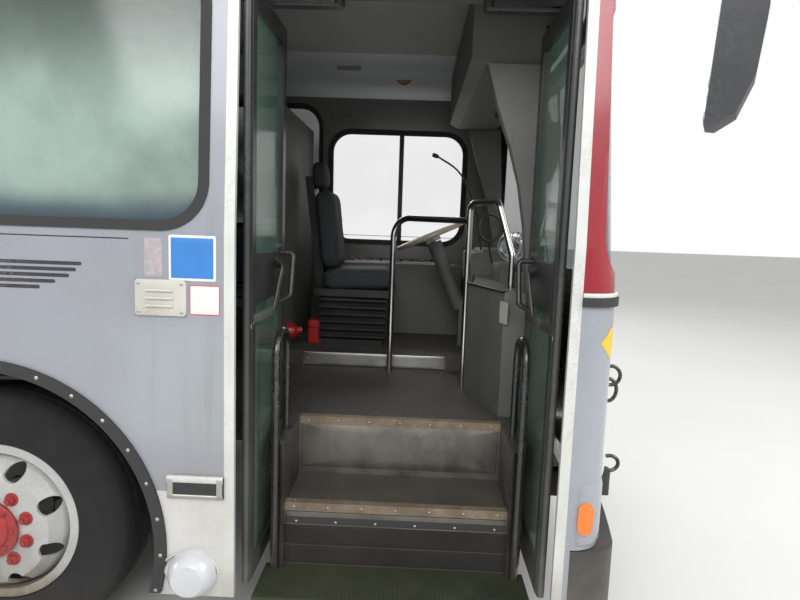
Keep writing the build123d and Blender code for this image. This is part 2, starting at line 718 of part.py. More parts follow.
def wheel_disc(out):
    """Rim and disc about the Y axis: flanged barrel, and a dished disc reaching to its bolting face."""
    h = rim_w / 2
    barrel = turn_y([(flange_r, -h), (flange_r, -h + flange_in), (bead_seat_r, -h + flange_in),
                     (bead_seat_r, h - flange_in), (flange_r, h - flange_in), (flange_r, h),
                     (bead_seat_r - barrel_t, h), (bead_seat_r - barrel_t, -h)])
    root_r = bead_seat_r - barrel_t / 2
    face = wheel_offset
    dish = ((root_r, 52), (252, 118), (218, face), (hub_r - 10, face), (hub_r - 10, face - disc_t),
            (212, face - disc_t), (242, 110), (root_r, 34))
    disc = turn_y([(r, out * y) for r, y in dish])
    for n in range(hand_holes):
        a = radians(360 / hand_holes * (n + 0.5))
        place = Pos(hand_hole_circle * cos(a), 0, hand_hole_circle * sin(a))
        disc -= place * Rot(90, 0, 0) * Cylinder(hand_hole_r, 500)
    return barrel + disc


for name, side in sides:
    for end, x in (("front", axle_f), ("rear", axle_r)):
        wheels = [(wheel_y, 1)] if end == "front" else [(wheel_y, -1), (wheel_y - twin_pitch, 1)]
        tyres = [Pos(x, side * y, wheel_z) * tyre_ring() for y, out in wheels]
        save(tyres if len(tyres) > 1 else tyres[0], f"tyre_{end}_{name}")
        if end == "front":
            hub_in, hub_out = kingpin_y + 88, wheel_y + wheel_offset + 14
        else:
            hub_in, hub_out = wheel_y - twin_pitch / 2 - 110, wheel_y - twin_pitch / 2 + 100
        bore_end = hub_out - 35
        hub = Pos(x, side * (hub_in + hub_out) / 2, wheel_z) * Rot(90, 0, 0) * Cylinder(hub_r, hub_out - hub_in)
        bore = Pos(x, side * (hub_in + bore_end) / 2, wheel_z) * Rot(90, 0, 0)
        bore = bore * Cylinder(hub_bore_r, bore_end - hub_in)
        steel = hub - bore
        for y, out in wheels:
            steel += Pos(x, side * y, wheel_z) * wheel_disc(out * side)
        save(steel, f"rim_{end}_{name}")

# Engine and its bulkhead
engine = block(engine_x0, engine_x0 + engine_l, -engine_w / 2, engine_w / 2, rail_top_z + trim_gap,
               rail_top_z + trim_gap + engine_h)
shelf_z = rail_top_z + engine_h + 40
sheet_t = 25
lid_end = tail_x + wall_t + 130
bulkhead = outline((bulkhead_x - sheet_t, floor_z - floor_t), (bulkhead_x - sheet_t, shelf_z - sheet_t),
                   (lid_end, shelf_z - sheet_t), (lid_end, shelf_z), (bulkhead_x - trim_gap, shelf_z),
                   (bulkhead_x - trim_gap, floor_z - floor_t))
bulkhead_y = half_width - wall_t - 12
panels = [along_y(bulkhead, -bulkhead_y, bulkhead_y)]
save(engine, "engine_block")


# Driver's place
platform_x0 = axle_f + 720
platform_x1 = axle_f + 1905
inner_left = half_width - wall_t
platform_top = floor_z + platform_rise
drive_platform = block(platform_x0, platform_x1, drive_platform_y, inner_left - 1, floor_z + trim_gap,
                       platform_top)
save([floor, drive_platform], "floor")
dash_back = axle_f + 1908
dash_front = nose_x - 160
dash_top = 1400
panel_near = (axle_f + 1960, -635)
panel_far = (axle_f + 1830, -225)
dash_plan = outline(panel_near, panel_far, (panel_far[0] + 40, -120), (dash_back, drive_platform_y - 60),
                    (dash_back, inner_left - 20), (corner_x - 40, inner_left - 20),
                    (dash_front, half_width - 420), (dash_front, -560), (panel_near[0] + 150, -640))
dash = along_z(dash_plan, floor_z + trim_gap, dash_top)
dash -= block(dash_back - 5, dash_back + 190, driver_y - 330, driver_y + 330, floor_z, dash_top - 170)
dash -= block(platform_x0, platform_x1 + 3, drive_platform_y - 3, half_width, 0, platform_top + trim_gap)
cowl = Pos(dash_back + 40, driver_y, dash_top - 10) * Rot(90, 0, 0) * Cylinder(150, 560)
cowl &= block(dash_back - 20, dash_back + 260, driver_y - 290, driver_y + 290, dash_top - 60, dash_top + 200)
dash += cowl

header_x0 = axle_f + 1762
header_low = 2385
header_y0 = -645
header_y1 = inner_left - 175
header = outline((header_x0, header_low + 30), (header_x0 + 60, header_low), (header_x0 + 330, header_low),
                 (header_x0 + 375, header_low + 60), (header_x0 + 375, 2480), (header_x0 + 300, 2740),
                 (header_x0, 2740))

horn = outline((axle_f + 1830, 2384), (axle_f + 1885, 2200), (axle_f + 1945, 2040), (axle_f + 1992, 1880),
               (axle_f + 2024, 1700), (axle_f + 2052, dash_top + trim_gap), (axle_f + 2120, dash_top + trim_gap),
               (axle_f + 2118, 1700), (axle_f + 2092, 2100), (axle_f + 2090, 2384))
casings = [along_y(horn, -670, -600)]
far_horn = outline((axle_f + 1905, 2384), (axle_f + 1965, 2160), (axle_f + 2050, 1900),
                   (axle_f + 2105, 1620), (axle_f + 2125, dash_top + trim_gap),
                   (axle_f + 2175, dash_top + trim_gap), (axle_f + 2170, 1700), (axle_f + 2130, 2384))
casings.append(along_y(far_horn, 1075, 1145))
save(operators + casings + [along_y(header, header_y0, header_y1)], "overhead_casings")

hub_x = axle_f + 1650
hub_z = 1630
steer_axis = (-sin(radians(steer_tilt)), 0, cos(radians(steer_tilt)))
steer_plane = Plane((hub_x, driver_y, hub_z), x_dir=(0, 1, 0), z_dir=steer_axis)
ring = steer_plane * Torus(wheel_ring_r, wheel_ring_tube)
wheel_hub = steer_plane * Pos(0, 0, -22) * Cylinder(52, 44)
shaft_r = 16
shaft_in = steer_plane * Pos(0, 0, -100) * Cylinder(shaft_r, 130)
fore_spoke = steer_plane * Pos(0, wheel_ring_r / 2, -12) * Box(34, wheel_ring_r, 14)
cross_spoke = steer_plane * Pos(0, 0, -12) * Box(2 * wheel_ring_r, 34, 14)
steering_wheel = ring + cross_spoke + fore_spoke + wheel_hub + shaft_in
save(steering_wheel, "steering_wheel")
column_len = 470
column = steer_plane * Pos(0, 0, -50 - column_len / 2) * Cylinder(48, column_len)
column -= steer_plane * Pos(0, 0, -110) * Cylinder(shaft_r + running_gap, 122)
foot_point = Vector(hub_x, driver_y, hub_z) - Vector(*steer_axis) * (50 + column_len)
foot = block(foot_point.X - 10, foot_point.X + 110, driver_y - 55, driver_y + 55,
             platform_top + trim_gap, foot_point.Z + 60)
save([dash, column + foot], "dash")

seat_x0 = axle_f + 950
seat_x1 = axle_f + 1380
seat_y0 = 420
seat_y1 = 900
bellows_z1 = 1230
bellow_count = 6
pedestal = block(seat_x0 + 20, seat_x1 - 20, seat_y0 + 20, seat_y1 - 20,
                 platform_top + trim_gap, platform_top + 40)
step = (bellows_z1 - platform_top - 40) / bellow_count
for n in range(bellow_count):
    z = platform_top + 40 + n * step
    fold = block(seat_x0, seat_x1, seat_y0, seat_y1, z, z + step)
    fold = chamfer(fold.edges().group_by(Axis.Z)[0] + fold.edges().group_by(Axis.Z)[-1], step * 0.4)
    pedestal += fold
pan = block(seat_x0 - 30, seat_x1 + 40, seat_y0 - 10, seat_y1 + 10, bellows_z1 - 1, bellows_z1 + 45)
back_frame = outline((seat_x0 - 30, bellows_z1), (seat_x0 + 25, bellows_z1), (seat_x0 - 75, 1980),
                     (seat_x0 - 125, 1980))
save(pedestal + pan + along_y(back_frame, driver_y - 90, driver_y + 90), "driver_seat_base")
cushion = block(seat_x0 + 30, seat_x1 + 60, seat_y0 - 10, seat_y1 + 10,
                bellows_z1 + 45 + trim_gap, bellows_z1 + 160)
cushion = fillet(cushion.edges().filter_by(Axis.Z), 50)
back_pad = outline((seat_x0 + 28, bellows_z1 + 165), (seat_x0 + 125, bellows_z1 + 165), (seat_x0 + 35, 1900),
                   (seat_x0 - 62, 1900))
head_pad = outline((seat_x0 - 62, 1915), (seat_x0 + 25, 1915), (seat_x0 + 5, 2070), (seat_x0 - 78, 2070))
pads = [cushion, along_y(back_pad, seat_y0 + 5, seat_y1 - 5), along_y(head_pad, driver_y - 130, driver_y + 130)]
save(pads, "driver_seat_pads")

partition_x = axle_f + 740
partition = block(partition_x, partition_x + 30, 150, inner_left - 60, floor_z + platform_rise + trim_gap, 2350)
panels.append(partition)
save(panels, "partitions")

# Posts and rails
post_r = 17


def post(x, y, z0=floor_z + trim_gap):
    """An upright pole from the floor to the ceiling."""
    return Pos(x, y, (z0 + ceiling_z) / 2) * Cylinder(post_r, ceiling_z - z0) & inner


rails_in = []
near_post = (axle_f + 1830, -140)
far_post = (axle_f + 1420, 145)
front_rail = tube(post_r, [(far_post[0], far_post[1], floor_z + trim_gap), (far_post[0], far_post[1], 1730),
                           (near_post[0], near_post[1], 1722)], 110)
front_rail += tube(post_r, [(near_post[0], near_post[1], floor_z + trim_gap), (near_post[0], near_post[1], 1815),
                            (axle_f + 1945, -380, 1815), (axle_f + 2012, -475, 1560),
                            (axle_f + 2012, -475, dash_top + trim_gap)], 50)
rails_in.append(front_rail)
pole_xs = [axle_f - 900 - n * 1640 for n in range(5)]
for x in pole_xs:
    for y in (-300, 300):
        rails_in.append(post(x, y))
save(rails_in, "handrails")

# Passenger seats: rows facing forward and benches over the wheel housings
row_pitch = 820
seat_h = floor_z + 430
seat_l = 430
seat_back_h = 470
shell_t = 22
aisle_y = 360
seat_out = half_width - wall_t - 30
seat_shells = []
seat_pads = []


def double_seat(x, side):
    """A moulded double seat facing forward on one pedestal, and its two pads."""
    ya, yb = sorted((side * aisle_y, side * seat_out))
    back_x = x - seat_l
    back_z = seat_h + seat_back_h
    shape = outline((x, seat_h - shell_t), (x, seat_h), (back_x, seat_h), (back_x - 90, back_z),
                    (back_x - 90 - shell_t, back_z), (back_x - shell_t, seat_h - shell_t))
    mid = side * (aisle_y + 240)
    shell_here = along_y(shape, ya, yb)
    leg = outline((x - 290, floor_z + trim_gap), (x - 170, floor_z + trim_gap), (x - 120, seat_h - shell_t + 1),
                  (x - 340, seat_h - shell_t + 1))
    shell_here += along_y(leg, mid - 25, mid + 25)
    seat_shells.append(shell_here)
    low_pad = block(back_x + 60, x - 6, ya + 15, yb - 15, seat_h + trim_gap, seat_h + 50)
    back = outline((back_x + 50, seat_h + 55), (back_x + 4, seat_h + 55), (back_x - 78, back_z - 10),
                   (back_x - 32, back_z - 10))
    seat_pads.extend([low_pad, along_y(back, ya + 15, yb - 15)])


for name, side in sides:
    x = axle_f - 1150
    while x - seat_l > axle_r + 720:
        if side > 0 or x < doorways["exit"][0] - 220 or x - seat_l - 120 > doorways["exit"][1] + 160:
            double_seat(x, side)
        x -= row_pitch
    for end, x in (("front", axle_f), ("rear", axle_r)):
        half_l = 560 if end == "front" else 520
        ya, yb = sorted((side * (seat_out - 440), side * seat_out))
        y_wall = side * seat_out
        bench = block(x - half_l, x + half_l, ya, yb, house_top + trim_gap, house_top + 60)
        bench += block(x - half_l, x + half_l, y_wall - side * 30, y_wall, house_top + 50, house_top + 490)
        seat_shells.append(bench)
        pa, pb = sorted((side * (seat_out - 435), side * (seat_out - 95)))
        qa, qb = sorted((side * (seat_out - 85), side * (seat_out - 31)))
        pad_x0 = x - half_l + 15
        pad_x1 = x + half_l - 15
        seat_pads.append(block(pad_x0, pad_x1, pa, pb, house_top + 60 + trim_gap, house_top + 115))
        seat_pads.append(block(pad_x0, pad_x1, qa, qb, house_top + 120, house_top + 480))
rear_bench_x = bulkhead_x + seat_l + 130
for side in (1, -1):
    double_seat(rear_bench_x, side)
save(seat_shells, "passenger_seats")
save(seat_pads, "seat_pads")

# Outside trims: arch rubbers, rub rails, belt strip, louvre plate
rub_z0 = 681
rub_z1 = 762
rub_t = 14
arch_rubber_w = 42
arch_t = 12
trims = []
for name, side in sides:
    y0, y1 = sorted((side * (half_width + trim_gap), side * (half_width + trim_gap + arch_t)))
    rub0, rub1 = sorted((side * (half_width + trim_gap), side * (half_width + trim_gap + rub_t)))
    above_skirt = Pos(0, (arch_r + 100 - arch_z + skirt_z + 10) / 2)
    above_skirt *= Rectangle(2 * arch_r + 200, arch_r + 100 + arch_z - skirt_z - 10)
    for x in (axle_f, axle_r):
        rubber = (Circle(arch_r + arch_rubber_w) - Circle(arch_r)) & above_skirt
        trims.append(along_y(Pos(x, arch_z) * rubber, y0, y1))
    stops = [rear_cap_x, axle_r - arch_r - 50, axle_r + arch_r + 50]
    if side < 0:
        stops += [doorways["exit"][0], doorways["exit"][1]]
    stops += [axle_f - arch_r - 50, axle_f + arch_r + 50]
    stops += [entry_rear_x if side < 0 else front_cap_x]
    for x0, x1 in zip(stops[0::2], stops[1::2]):
        bar = block(x0, x1, rub0, rub1, rub_z0, rub_z1)
        bar = chamfer(bar.edges().filter_by(Axis.X).group_by(Axis.Y)[-1 if side > 0 else 0], 5)
        trims.append(bar)
belt = along_z(plan(-12), belt_z - 2, belt_z + 29) - along_z(plan(-trim_gap), belt_z - 3, belt_z + 30)
belt &= block(front_cap_x, nose_x + 50, -far, far, 0, 3000)
trims.append(belt)
louvre_x0 = axle_f + 585
louvre = block(louvre_x0, louvre_x0 + 175, -half_width - 9, -half_width - trim_gap, 1343, 1466)
for n in range(3):
    slot_z = 1372 + n * 26
    louvre -= block(louvre_x0 + 38, louvre_x0 + 138, -half_width - 20, -half_width + 5, slot_z, slot_z + 10)
trims.append(louvre)
save(trims, "body_trims")

# Lamps on the sides, the nose and the tail
curb_lamp = Pos(axle_f + 778, -half_width - trim_gap, 395) * Sphere(90)
curb_lamp &= block(axle_f + 600, axle_f + 900, -half_width - 70, -half_width - trim_gap, 333, 500)
lamps.append(curb_lamp)
for side in (1, -1):
    y0, y1 = sorted((side * (half_width - 60), side * (half_width + 8)))
    lamps.append(along_y(Pos(axle_f + 2190, 666) * Rot(0, 0, 90) * SlotOverall(120, 54), y0, y1) - outer)
    for n, z in enumerate((820, 980, 1140)):
        lamps.append(Pos(tail_x - 12 - trim_gap, side * 1030, z) * Rot(0, 90, 0) * Cylinder(62, 24))
save(lamps, "lamps")

# Mirrors on arms from the front corners, each head turned towards the driver
mirror_low = 2020
mirror_high = 2500
mirror_turn = {1: 13, -1: -27}
head_w = 150
head_back = 73
head_front = 75
most_turned = radians(27)
stem_x = axle_f + mirror_reach - head_front * cos(most_turned) - head_w / 2 * sin(most_turned)
mirrors = []
for side in (1, -1):
    stem_y = side * (half_width + 80)
    back = outline((-head_back, mirror_low + 4), (-head_back + 28, mirror_low), (head_front - 60, mirror_low + 40),
                   (head_front - 18, mirror_low + 150), (head_front, mirror_high - 140),
                   (head_front - 6, mirror_high - 20), (head_front - 30, mirror_high),
                   (-head_back + 26, mirror_high))
    head = Pos(stem_x, stem_y, 0) * Rot(0, 0, mirror_turn[side]) * along_y(back, -head_w / 2, head_w / 2)
    arm = tube(17, [(corner_x - 60, side * (half_width - 90), 2560),
                    (stem_x - 165, side * (half_width - 5), 2585),
                    (stem_x, stem_y, 2585), (stem_x, stem_y, mirror_high - 5)], 50)
    mirrors.append((head + arm) - outer)
save(mirrors, "mirrors")

# Bike rack folded up in front of the nose
rack_r = 14
rack_x = nose_x + 34
rack_z = bumper_z1 + 36
rack_half = 760
rack_top = 1130
saddles = []
rack = Pos(rack_x, 0, rack_z) * Rot(90, 0, 0) * Cylinder(rack_r, 2 * rack_half)
rack += tube(rack_r - 2, [(rack_x, -rack_half + 20, rack_z), (rack_x, -rack_half + 20, rack_top),
                          (rack_x, rack_half - 20, rack_top), (rack_x, rack_half - 20, rack_z)], 80)
for z in (rack_z + 190, rack_z + 380):
    rack += Pos(rack_x, 0, z) * Rot(90, 0, 0) * Cylinder(rack_r - 4, 2 * rack_half - 40)
for y in (-300, 300):
    rack += Pos(rack_x, y, (rack_z + rack_top) / 2) * Cylinder(rack_r - 6, rack_top - rack_z)
save(rack, "bike_rack")
for y in (-420, 420):
    saddle = block(rack_x - 26, rack_x + 26, y - 30, y + 30, bumper_z1 + trim_gap, rack_z + 24)
    saddles.append(saddle - Pos(rack_x, y, rack_z) * Rot(90, 0, 0) * Cylinder(rack_r + running_gap, 80))
save([bumper, rear_bumper] + saddles, "bumpers")
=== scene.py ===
"""Looks of a high-floor city bus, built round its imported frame. Metres, +X forward, +Y left, +Z up."""
import logging
import math
from dataclasses import dataclass, field
from enum import Enum
from typing import Callable, Sequence

import bmesh
import bpy
import numpy as np
from mathutils import Matrix

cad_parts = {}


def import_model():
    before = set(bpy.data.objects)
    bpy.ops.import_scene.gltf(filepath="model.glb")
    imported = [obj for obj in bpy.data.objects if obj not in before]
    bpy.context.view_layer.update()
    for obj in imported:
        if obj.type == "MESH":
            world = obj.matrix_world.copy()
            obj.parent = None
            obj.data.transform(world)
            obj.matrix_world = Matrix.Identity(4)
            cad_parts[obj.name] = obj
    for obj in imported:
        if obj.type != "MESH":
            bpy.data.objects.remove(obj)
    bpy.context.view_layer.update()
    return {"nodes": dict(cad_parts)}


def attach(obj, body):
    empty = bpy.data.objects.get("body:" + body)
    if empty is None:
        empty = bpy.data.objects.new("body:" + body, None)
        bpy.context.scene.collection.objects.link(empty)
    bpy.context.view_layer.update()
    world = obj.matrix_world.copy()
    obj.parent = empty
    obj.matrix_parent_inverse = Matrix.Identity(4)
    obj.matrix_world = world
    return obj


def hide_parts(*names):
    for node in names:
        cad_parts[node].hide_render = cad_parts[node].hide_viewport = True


log = logging.getLogger("bus")

AXLE_F = 3.6825
AXLE_R = -3.4045
HALF_W = 1.295
SILL_Z = 1.630
LEAN = 0.0577
FLOOR_Z = 0.820
TREAD_Z = 0.560
PLATFORM_Z = 0.300
WHEEL_Y = 1.091
WHEEL_Z = 0.505
TAIL_X = -6.2025
NOSE_X = 6.0575
CORNER_X = 5.8325
CORNER_R = 0.12
BELT_Z = 1.430
RAKE = 0.0735
PORTALS = {"entry": (4.5745, 5.8085), "exit": (-2.2645, -1.3645)}
STEP_X0 = 4.7425
STEP_X1 = 5.6405
STEP_FROM_JAMB = 0.168
RISER_OUT = -HALF_W + 0.240
RISER_IN = -HALF_W + 0.546
DRIVE_EDGE_Y = 0.235
DRIVE_FLOOR_Z = 0.912
DASH_TOP = 1.40
ROOF_TOP = 2.99
ROOF_HALF = 1.222
ROOF_RISE = 0.1
NOSE_SAG = 0.105
REAR_BENCH_X = TAIL_X + 1.98
ARCH_HALF = 0.69
ARCH_Z = 0.480
RIGHT, UP = (1, 0, 0), (0, 0, 1)

Socket = bpy.types.NodeSocket
Node = bpy.types.Node
NodeTree = bpy.types.NodeTree
Object = bpy.types.Object
Sockets = bpy.types.NodeOutputs
Surface = tuple[np.ndarray, list]
Colour = tuple[float, float, float]


def rel(x: float) -> float:
    """X of a place measured from the front axle."""
    return AXLE_F + x


# ---- Surfaces ----

def grid(points: np.ndarray, close_u: bool = False, close_v: bool = False) -> Surface:
    """Quads over a grid of points; every point (i, j) joins its neighbours (i+1, j) and (i, j+1).

    Args:
        points: array (nu, nv, 3).
        close_u: join the last row to the first.
        close_v: join the last column to the first.

    Returns:
        The points as a list of rows and the quads.
    """
    nu, nv = points.shape[:2]
    i, j = np.meshgrid(np.arange(nu if close_u else nu - 1), np.arange(nv if close_v else nv - 1), indexing="ij")
    a = i * nv + j
    b = ((i + 1) % nu) * nv + j
    c = ((i + 1) % nu) * nv + (j + 1) % nv
    d = i * nv + (j + 1) % nv
    return points.reshape(-1, 3), np.stack([a, b, c, d], -1).reshape(-1, 4).tolist()


def capped(rings: np.ndarray) -> Surface:
    """Rings of points joined into a tube, with a flat face over the first and the last ring."""
    flat, faces = grid(rings, False, True)
    m, k = rings.shape[:2]
    faces.append(list(range(k))[::-1])
    faces.append([(m - 1) * k + j for j in range(k)])
    return flat, faces


def unit(vector: Sequence) -> np.ndarray:
    """The same direction with a length of 1."""
    vector = np.asarray(vector, float)
    return vector / np.linalg.norm(vector)


def lathe(profile: Sequence, centre: Sequence, axis: Sequence, sides: int = 32, close: bool = False) -> Surface:
    """A profile of (radius, height) turned about an axis: point = centre + r(cos a, sin a) across + h along.

    Args:
        profile: (radius, height) pairs.
        centre: foot of the axis.
        axis: direction of the heights.
        sides: steps round the turn.
        close: join the profile's end to its start.

    Returns:
        The turned surface.
    """
    n = unit(axis)
    side = unit(np.cross(n, UP if abs(n[2]) < 0.9 else RIGHT))
    other = np.cross(n, side)
    rh = np.asarray(profile, float)
    a = np.linspace(0, 2 * np.pi, sides, endpoint=False)[:, None, None]
    ring = np.cos(a) * side + np.sin(a) * other
    points = np.asarray(centre, float) + rh[None, :, :1] * ring + rh[None, :, 1:] * n
    return grid(points, True, close)


def smooth_path(points: Sequence, corner: float, steps: int = 6) -> np.ndarray:
    """Straight runs joined by curves: near each corner the point is (1-t)^2 a + 2t(1-t) p + t^2 b.

    Args:
        points: corner points of the route.
        corner: how far from a corner its curve starts.
        steps: points on each curve.

    Returns:
        Array of points along the path.
    """
    p = np.asarray(points, float)
    out = [p[:1]]
    t = np.linspace(0, 1, steps)[:, None]
    for before, here, after in zip(p[:-2], p[1:-1], p[2:]):
        back, ahead = before - here, after - here
        cut = min(corner, np.linalg.norm(back) * 0.49, np.linalg.norm(ahead) * 0.49)
        a = here + unit(back) * cut
        b = here + unit(ahead) * cut
        out.append((1 - t) ** 2 * a + 2 * t * (1 - t) * here + t ** 2 * b)
    out.append(p[-1:])
    return np.concatenate(out)


def sweep(profile: Sequence, path: np.ndarray, across: Sequence) -> Surface:
    """A closed profile carried along a path: point = path + u * side + v * rise, side = tangent x across.

    Args:
        profile: (u, v) pairs of the closed profile.
        path: array of points.
        across: a direction never parallel to the path; the profile's v stays close to it.

    Returns:
        The swept surface with both ends closed.
    """
    uv = np.asarray(profile, float)
    tangent = np.gradient(path, axis=0)
    tangent /= np.linalg.norm(tangent, axis=1, keepdims=True)
    side = np.cross(tangent, np.asarray(across, float))
    side /= np.linalg.norm(side, axis=1, keepdims=True)
    rise = np.cross(side, tangent)
    return capped(path[:, None] + uv[None, :, :1] * side[:, None] + uv[None, :, 1:] * rise[:, None])


def bar(start: Sequence, end: Sequence, profile: Sequence, across: Sequence = UP) -> Surface:
    """A closed profile carried along one straight run."""
    return sweep(profile, np.array([start, end], float), across)


def along(line: np.ndarray, on: np.ndarray) -> np.ndarray:
    """Points at the given distances along a line, each axis interpolated over the running length."""
    run = np.cumsum(np.linalg.norm(np.diff(line, axis=0, prepend=line[:1]), axis=1))
    return np.stack([np.interp(on, run, line[:, k]) for k in range(3)], -1)


def disc_profile(radius: float, sides: int = 12) -> np.ndarray:
    """Points round a circle: (r cos a, r sin a)."""
    a = np.linspace(0, 2 * np.pi, sides, endpoint=False)
    return radius * np.stack([np.cos(a), np.sin(a)], -1)


def rod(points: Sequence, radius: float, corner: float = 0.05, across: Sequence = UP, sides: int = 12) -> Surface:
    """A round bar along straight runs with eased corners."""
    return sweep(disc_profile(radius, sides), smooth_path(points, corner), across)


def rounded(w: float, h: float, corner: float, steps: int = 5) -> np.ndarray:
    """Outline of a rounded rectangle: quarter arcs c + r(cos a, sin a) round its four corner centres."""
    corner = min(corner, w / 2 - 1e-4, h / 2 - 1e-4)
    a = np.linspace(0, np.pi / 2, steps)
    arcs = []
    for k, (sx, sy) in enumerate(((1, 1), (-1, 1), (-1, -1), (1, -1))):
        centre = np.array([sx * (w / 2 - corner), sy * (h / 2 - corner)])
        arcs.append(centre + corner * np.stack([np.cos(a + k * np.pi / 2), np.sin(a + k * np.pi / 2)], -1))
    return np.concatenate(arcs)


def plate(centre: Sequence, u: Sequence, v: Sequence, size: Sequence, corner: float = 0.01, edge: float = 0.0015,
          crown: float = 0.0) -> Surface:
    """A rounded plate: its outline is carried up from its foot, eased in at its top edge and crowned.

    Args:
        centre: middle of the foot.
        u: direction of the width.
        v: direction of the height; the plate rises along u x v.
        size: width, height and thickness.
        corner: corner radius.
        edge: easing of the top edge.
        crown: extra rise of the middle.

    Returns:
        The closed plate.
    """
    w, h, t = size
    u, v = unit(u), unit(v)
    n = np.cross(u, v)
    edge = min(edge, t * 0.9, w * 0.3, h * 0.3)
    base = rounded(w, h, corner)
    scale = [1 - 2 * edge / min(w, h) * s for s in (0.0, 0.0, 0.3, 1.0)] + [0.6, 0.25]
    rise = [0.0, t - edge, t - edge * 0.3, t, t + crown * 0.7, t + crown]
    rings = [np.concatenate([base * s, np.full((len(base), 1), z)], -1) for s, z in zip(scale, rise)]
    local = np.stack(rings)
    return capped(np.asarray(centre, float) + local[..., :1] * u + local[..., 1:2] * v + local[..., 2:] * n)


def box_between(lo: Sequence, hi: Sequence, edge: float = 0.004, corner: float = 0.008) -> Surface:
    """An eased block between two corners, standing on its lower face."""
    lo, hi = np.asarray(lo, float), np.asarray(hi, float)
    size = hi - lo
    foot = ((lo[0] + hi[0]) / 2, (lo[1] + hi[1]) / 2, lo[2])
    return plate(foot, RIGHT, (0, 1, 0), size, corner, edge)


def ribbed(x0: float, x1: float, y0: float, y1: float, z: float, pitch: float, height: float,
           along_y: bool = True) -> Surface:
    """A ribbed mat: height above z is that of a flat-topped wave of the given pitch, falling to z at its edges.

    Args:
        x0, x1, y0, y1: edges of the mat.
        z: level of its underside.
        pitch: distance between ribs.
        height: height of a rib.
        along_y: ribs run along Y, otherwise along X.

    Returns:
        The mat's upper surface with its edges turned down.
    """
    span = (x1 - x0) if along_y else (y1 - y0)
    count = max(2, round(span / pitch))
    phase = np.array([0.0, 0.12, 0.5, 0.62])
    s = ((np.arange(count)[:, None] + phase) / count).ravel()
    wave = np.tile([0.35, 1.0, 1.0, 0.35], count) * height
    s = np.concatenate([[0.0], s + 0.19 / count, [1.0]])
    wave = np.concatenate([[0.0], wave, [0.0]])
    across = np.array([0.0, 0.0005, 1 - 0.0005, 1.0])
    level = wave[:, None] * np.array([0.0, 1.0, 1.0, 0.0])
    if along_y:
        points = np.stack(np.broadcast_arrays(x0 + s[:, None] * (x1 - x0), y0 + across * (y1 - y0), z + level), -1)
    else:
        points = np.stack(np.broadcast_arrays(x0 + across * (x1 - x0), y0 + s[:, None] * (y1 - y0), z + level), -1)
    return grid(points)


def nut(centre: Sequence, axis: Sequence, radius: float, height: float) -> Surface:
    """A six-sided nut with a chamfered top and a stud end."""
    profile = [(radius, 0), (radius, height * 0.8), (radius * 0.86, height), (radius * 0.5, height),
               (radius * 0.5, height * 1.35), (radius * 0.38, height * 1.45), (0.0, height * 1.45)]
    return lathe(profile, centre, axis, 6)


def screw(centre: Sequence, axis: Sequence, radius: float = 0.007) -> Surface:
    """A domed screw head: height falls off as the square of the radius."""
    r = np.linspace(1, 0, 5)
    profile = np.stack([r * radius, (1 - r ** 2) * radius * 0.45], -1)
    return lathe(profile, centre, axis, 12)


def nose_line(z: float, proud: float, back: float = 0.0, steps: int = 120) -> np.ndarray:
    """The bus from above, from the right wall round the corner, along the bowed nose and back to the left wall.

    Straight wall, then a quarter arc c + r(sin a, cos a), then the bow x = nose - (R - sqrt(R^2 - y^2)); above the
    belt the whole line stands back by the rake.

    Args:
        z: height.
        proud: distance outside the skin.
        back: how far along the walls the line starts and ends behind the corners.
        steps: points of the result, evenly spaced.

    Returns:
        Points from right to left.
    """
    y_c = HALF_W - CORNER_R
    sag = NOSE_X - CORNER_X - CORNER_R
    bow = (sag ** 2 + y_c ** 2) / (2 * sag)
    turn = np.linspace(0, np.pi / 2, 16)
    y = np.linspace(-y_c, 0, 30)[1:]
    arc = np.stack([CORNER_X + (CORNER_R + proud) * np.sin(turn), -y_c - (CORNER_R + proud) * np.cos(turn)], -1)
    front = np.stack([NOSE_X + proud - (bow - np.sqrt(bow ** 2 - y ** 2)), y], -1)
    half = np.concatenate([[[CORNER_X - back, -HALF_W - proud]], arc, front])
    line = np.concatenate([half, half[-2::-1] * (1, -1)])
    line[:, 0] -= max(0.0, z - BELT_Z) * RAKE
    run = np.concatenate([[0], np.cumsum(np.linalg.norm(np.diff(line, axis=0), axis=1))])
    s = np.linspace(0, run[-1], steps)
    return np.stack([np.interp(s, run, line[:, 0]), np.interp(s, run, line[:, 1]), np.full(steps, z)], -1)


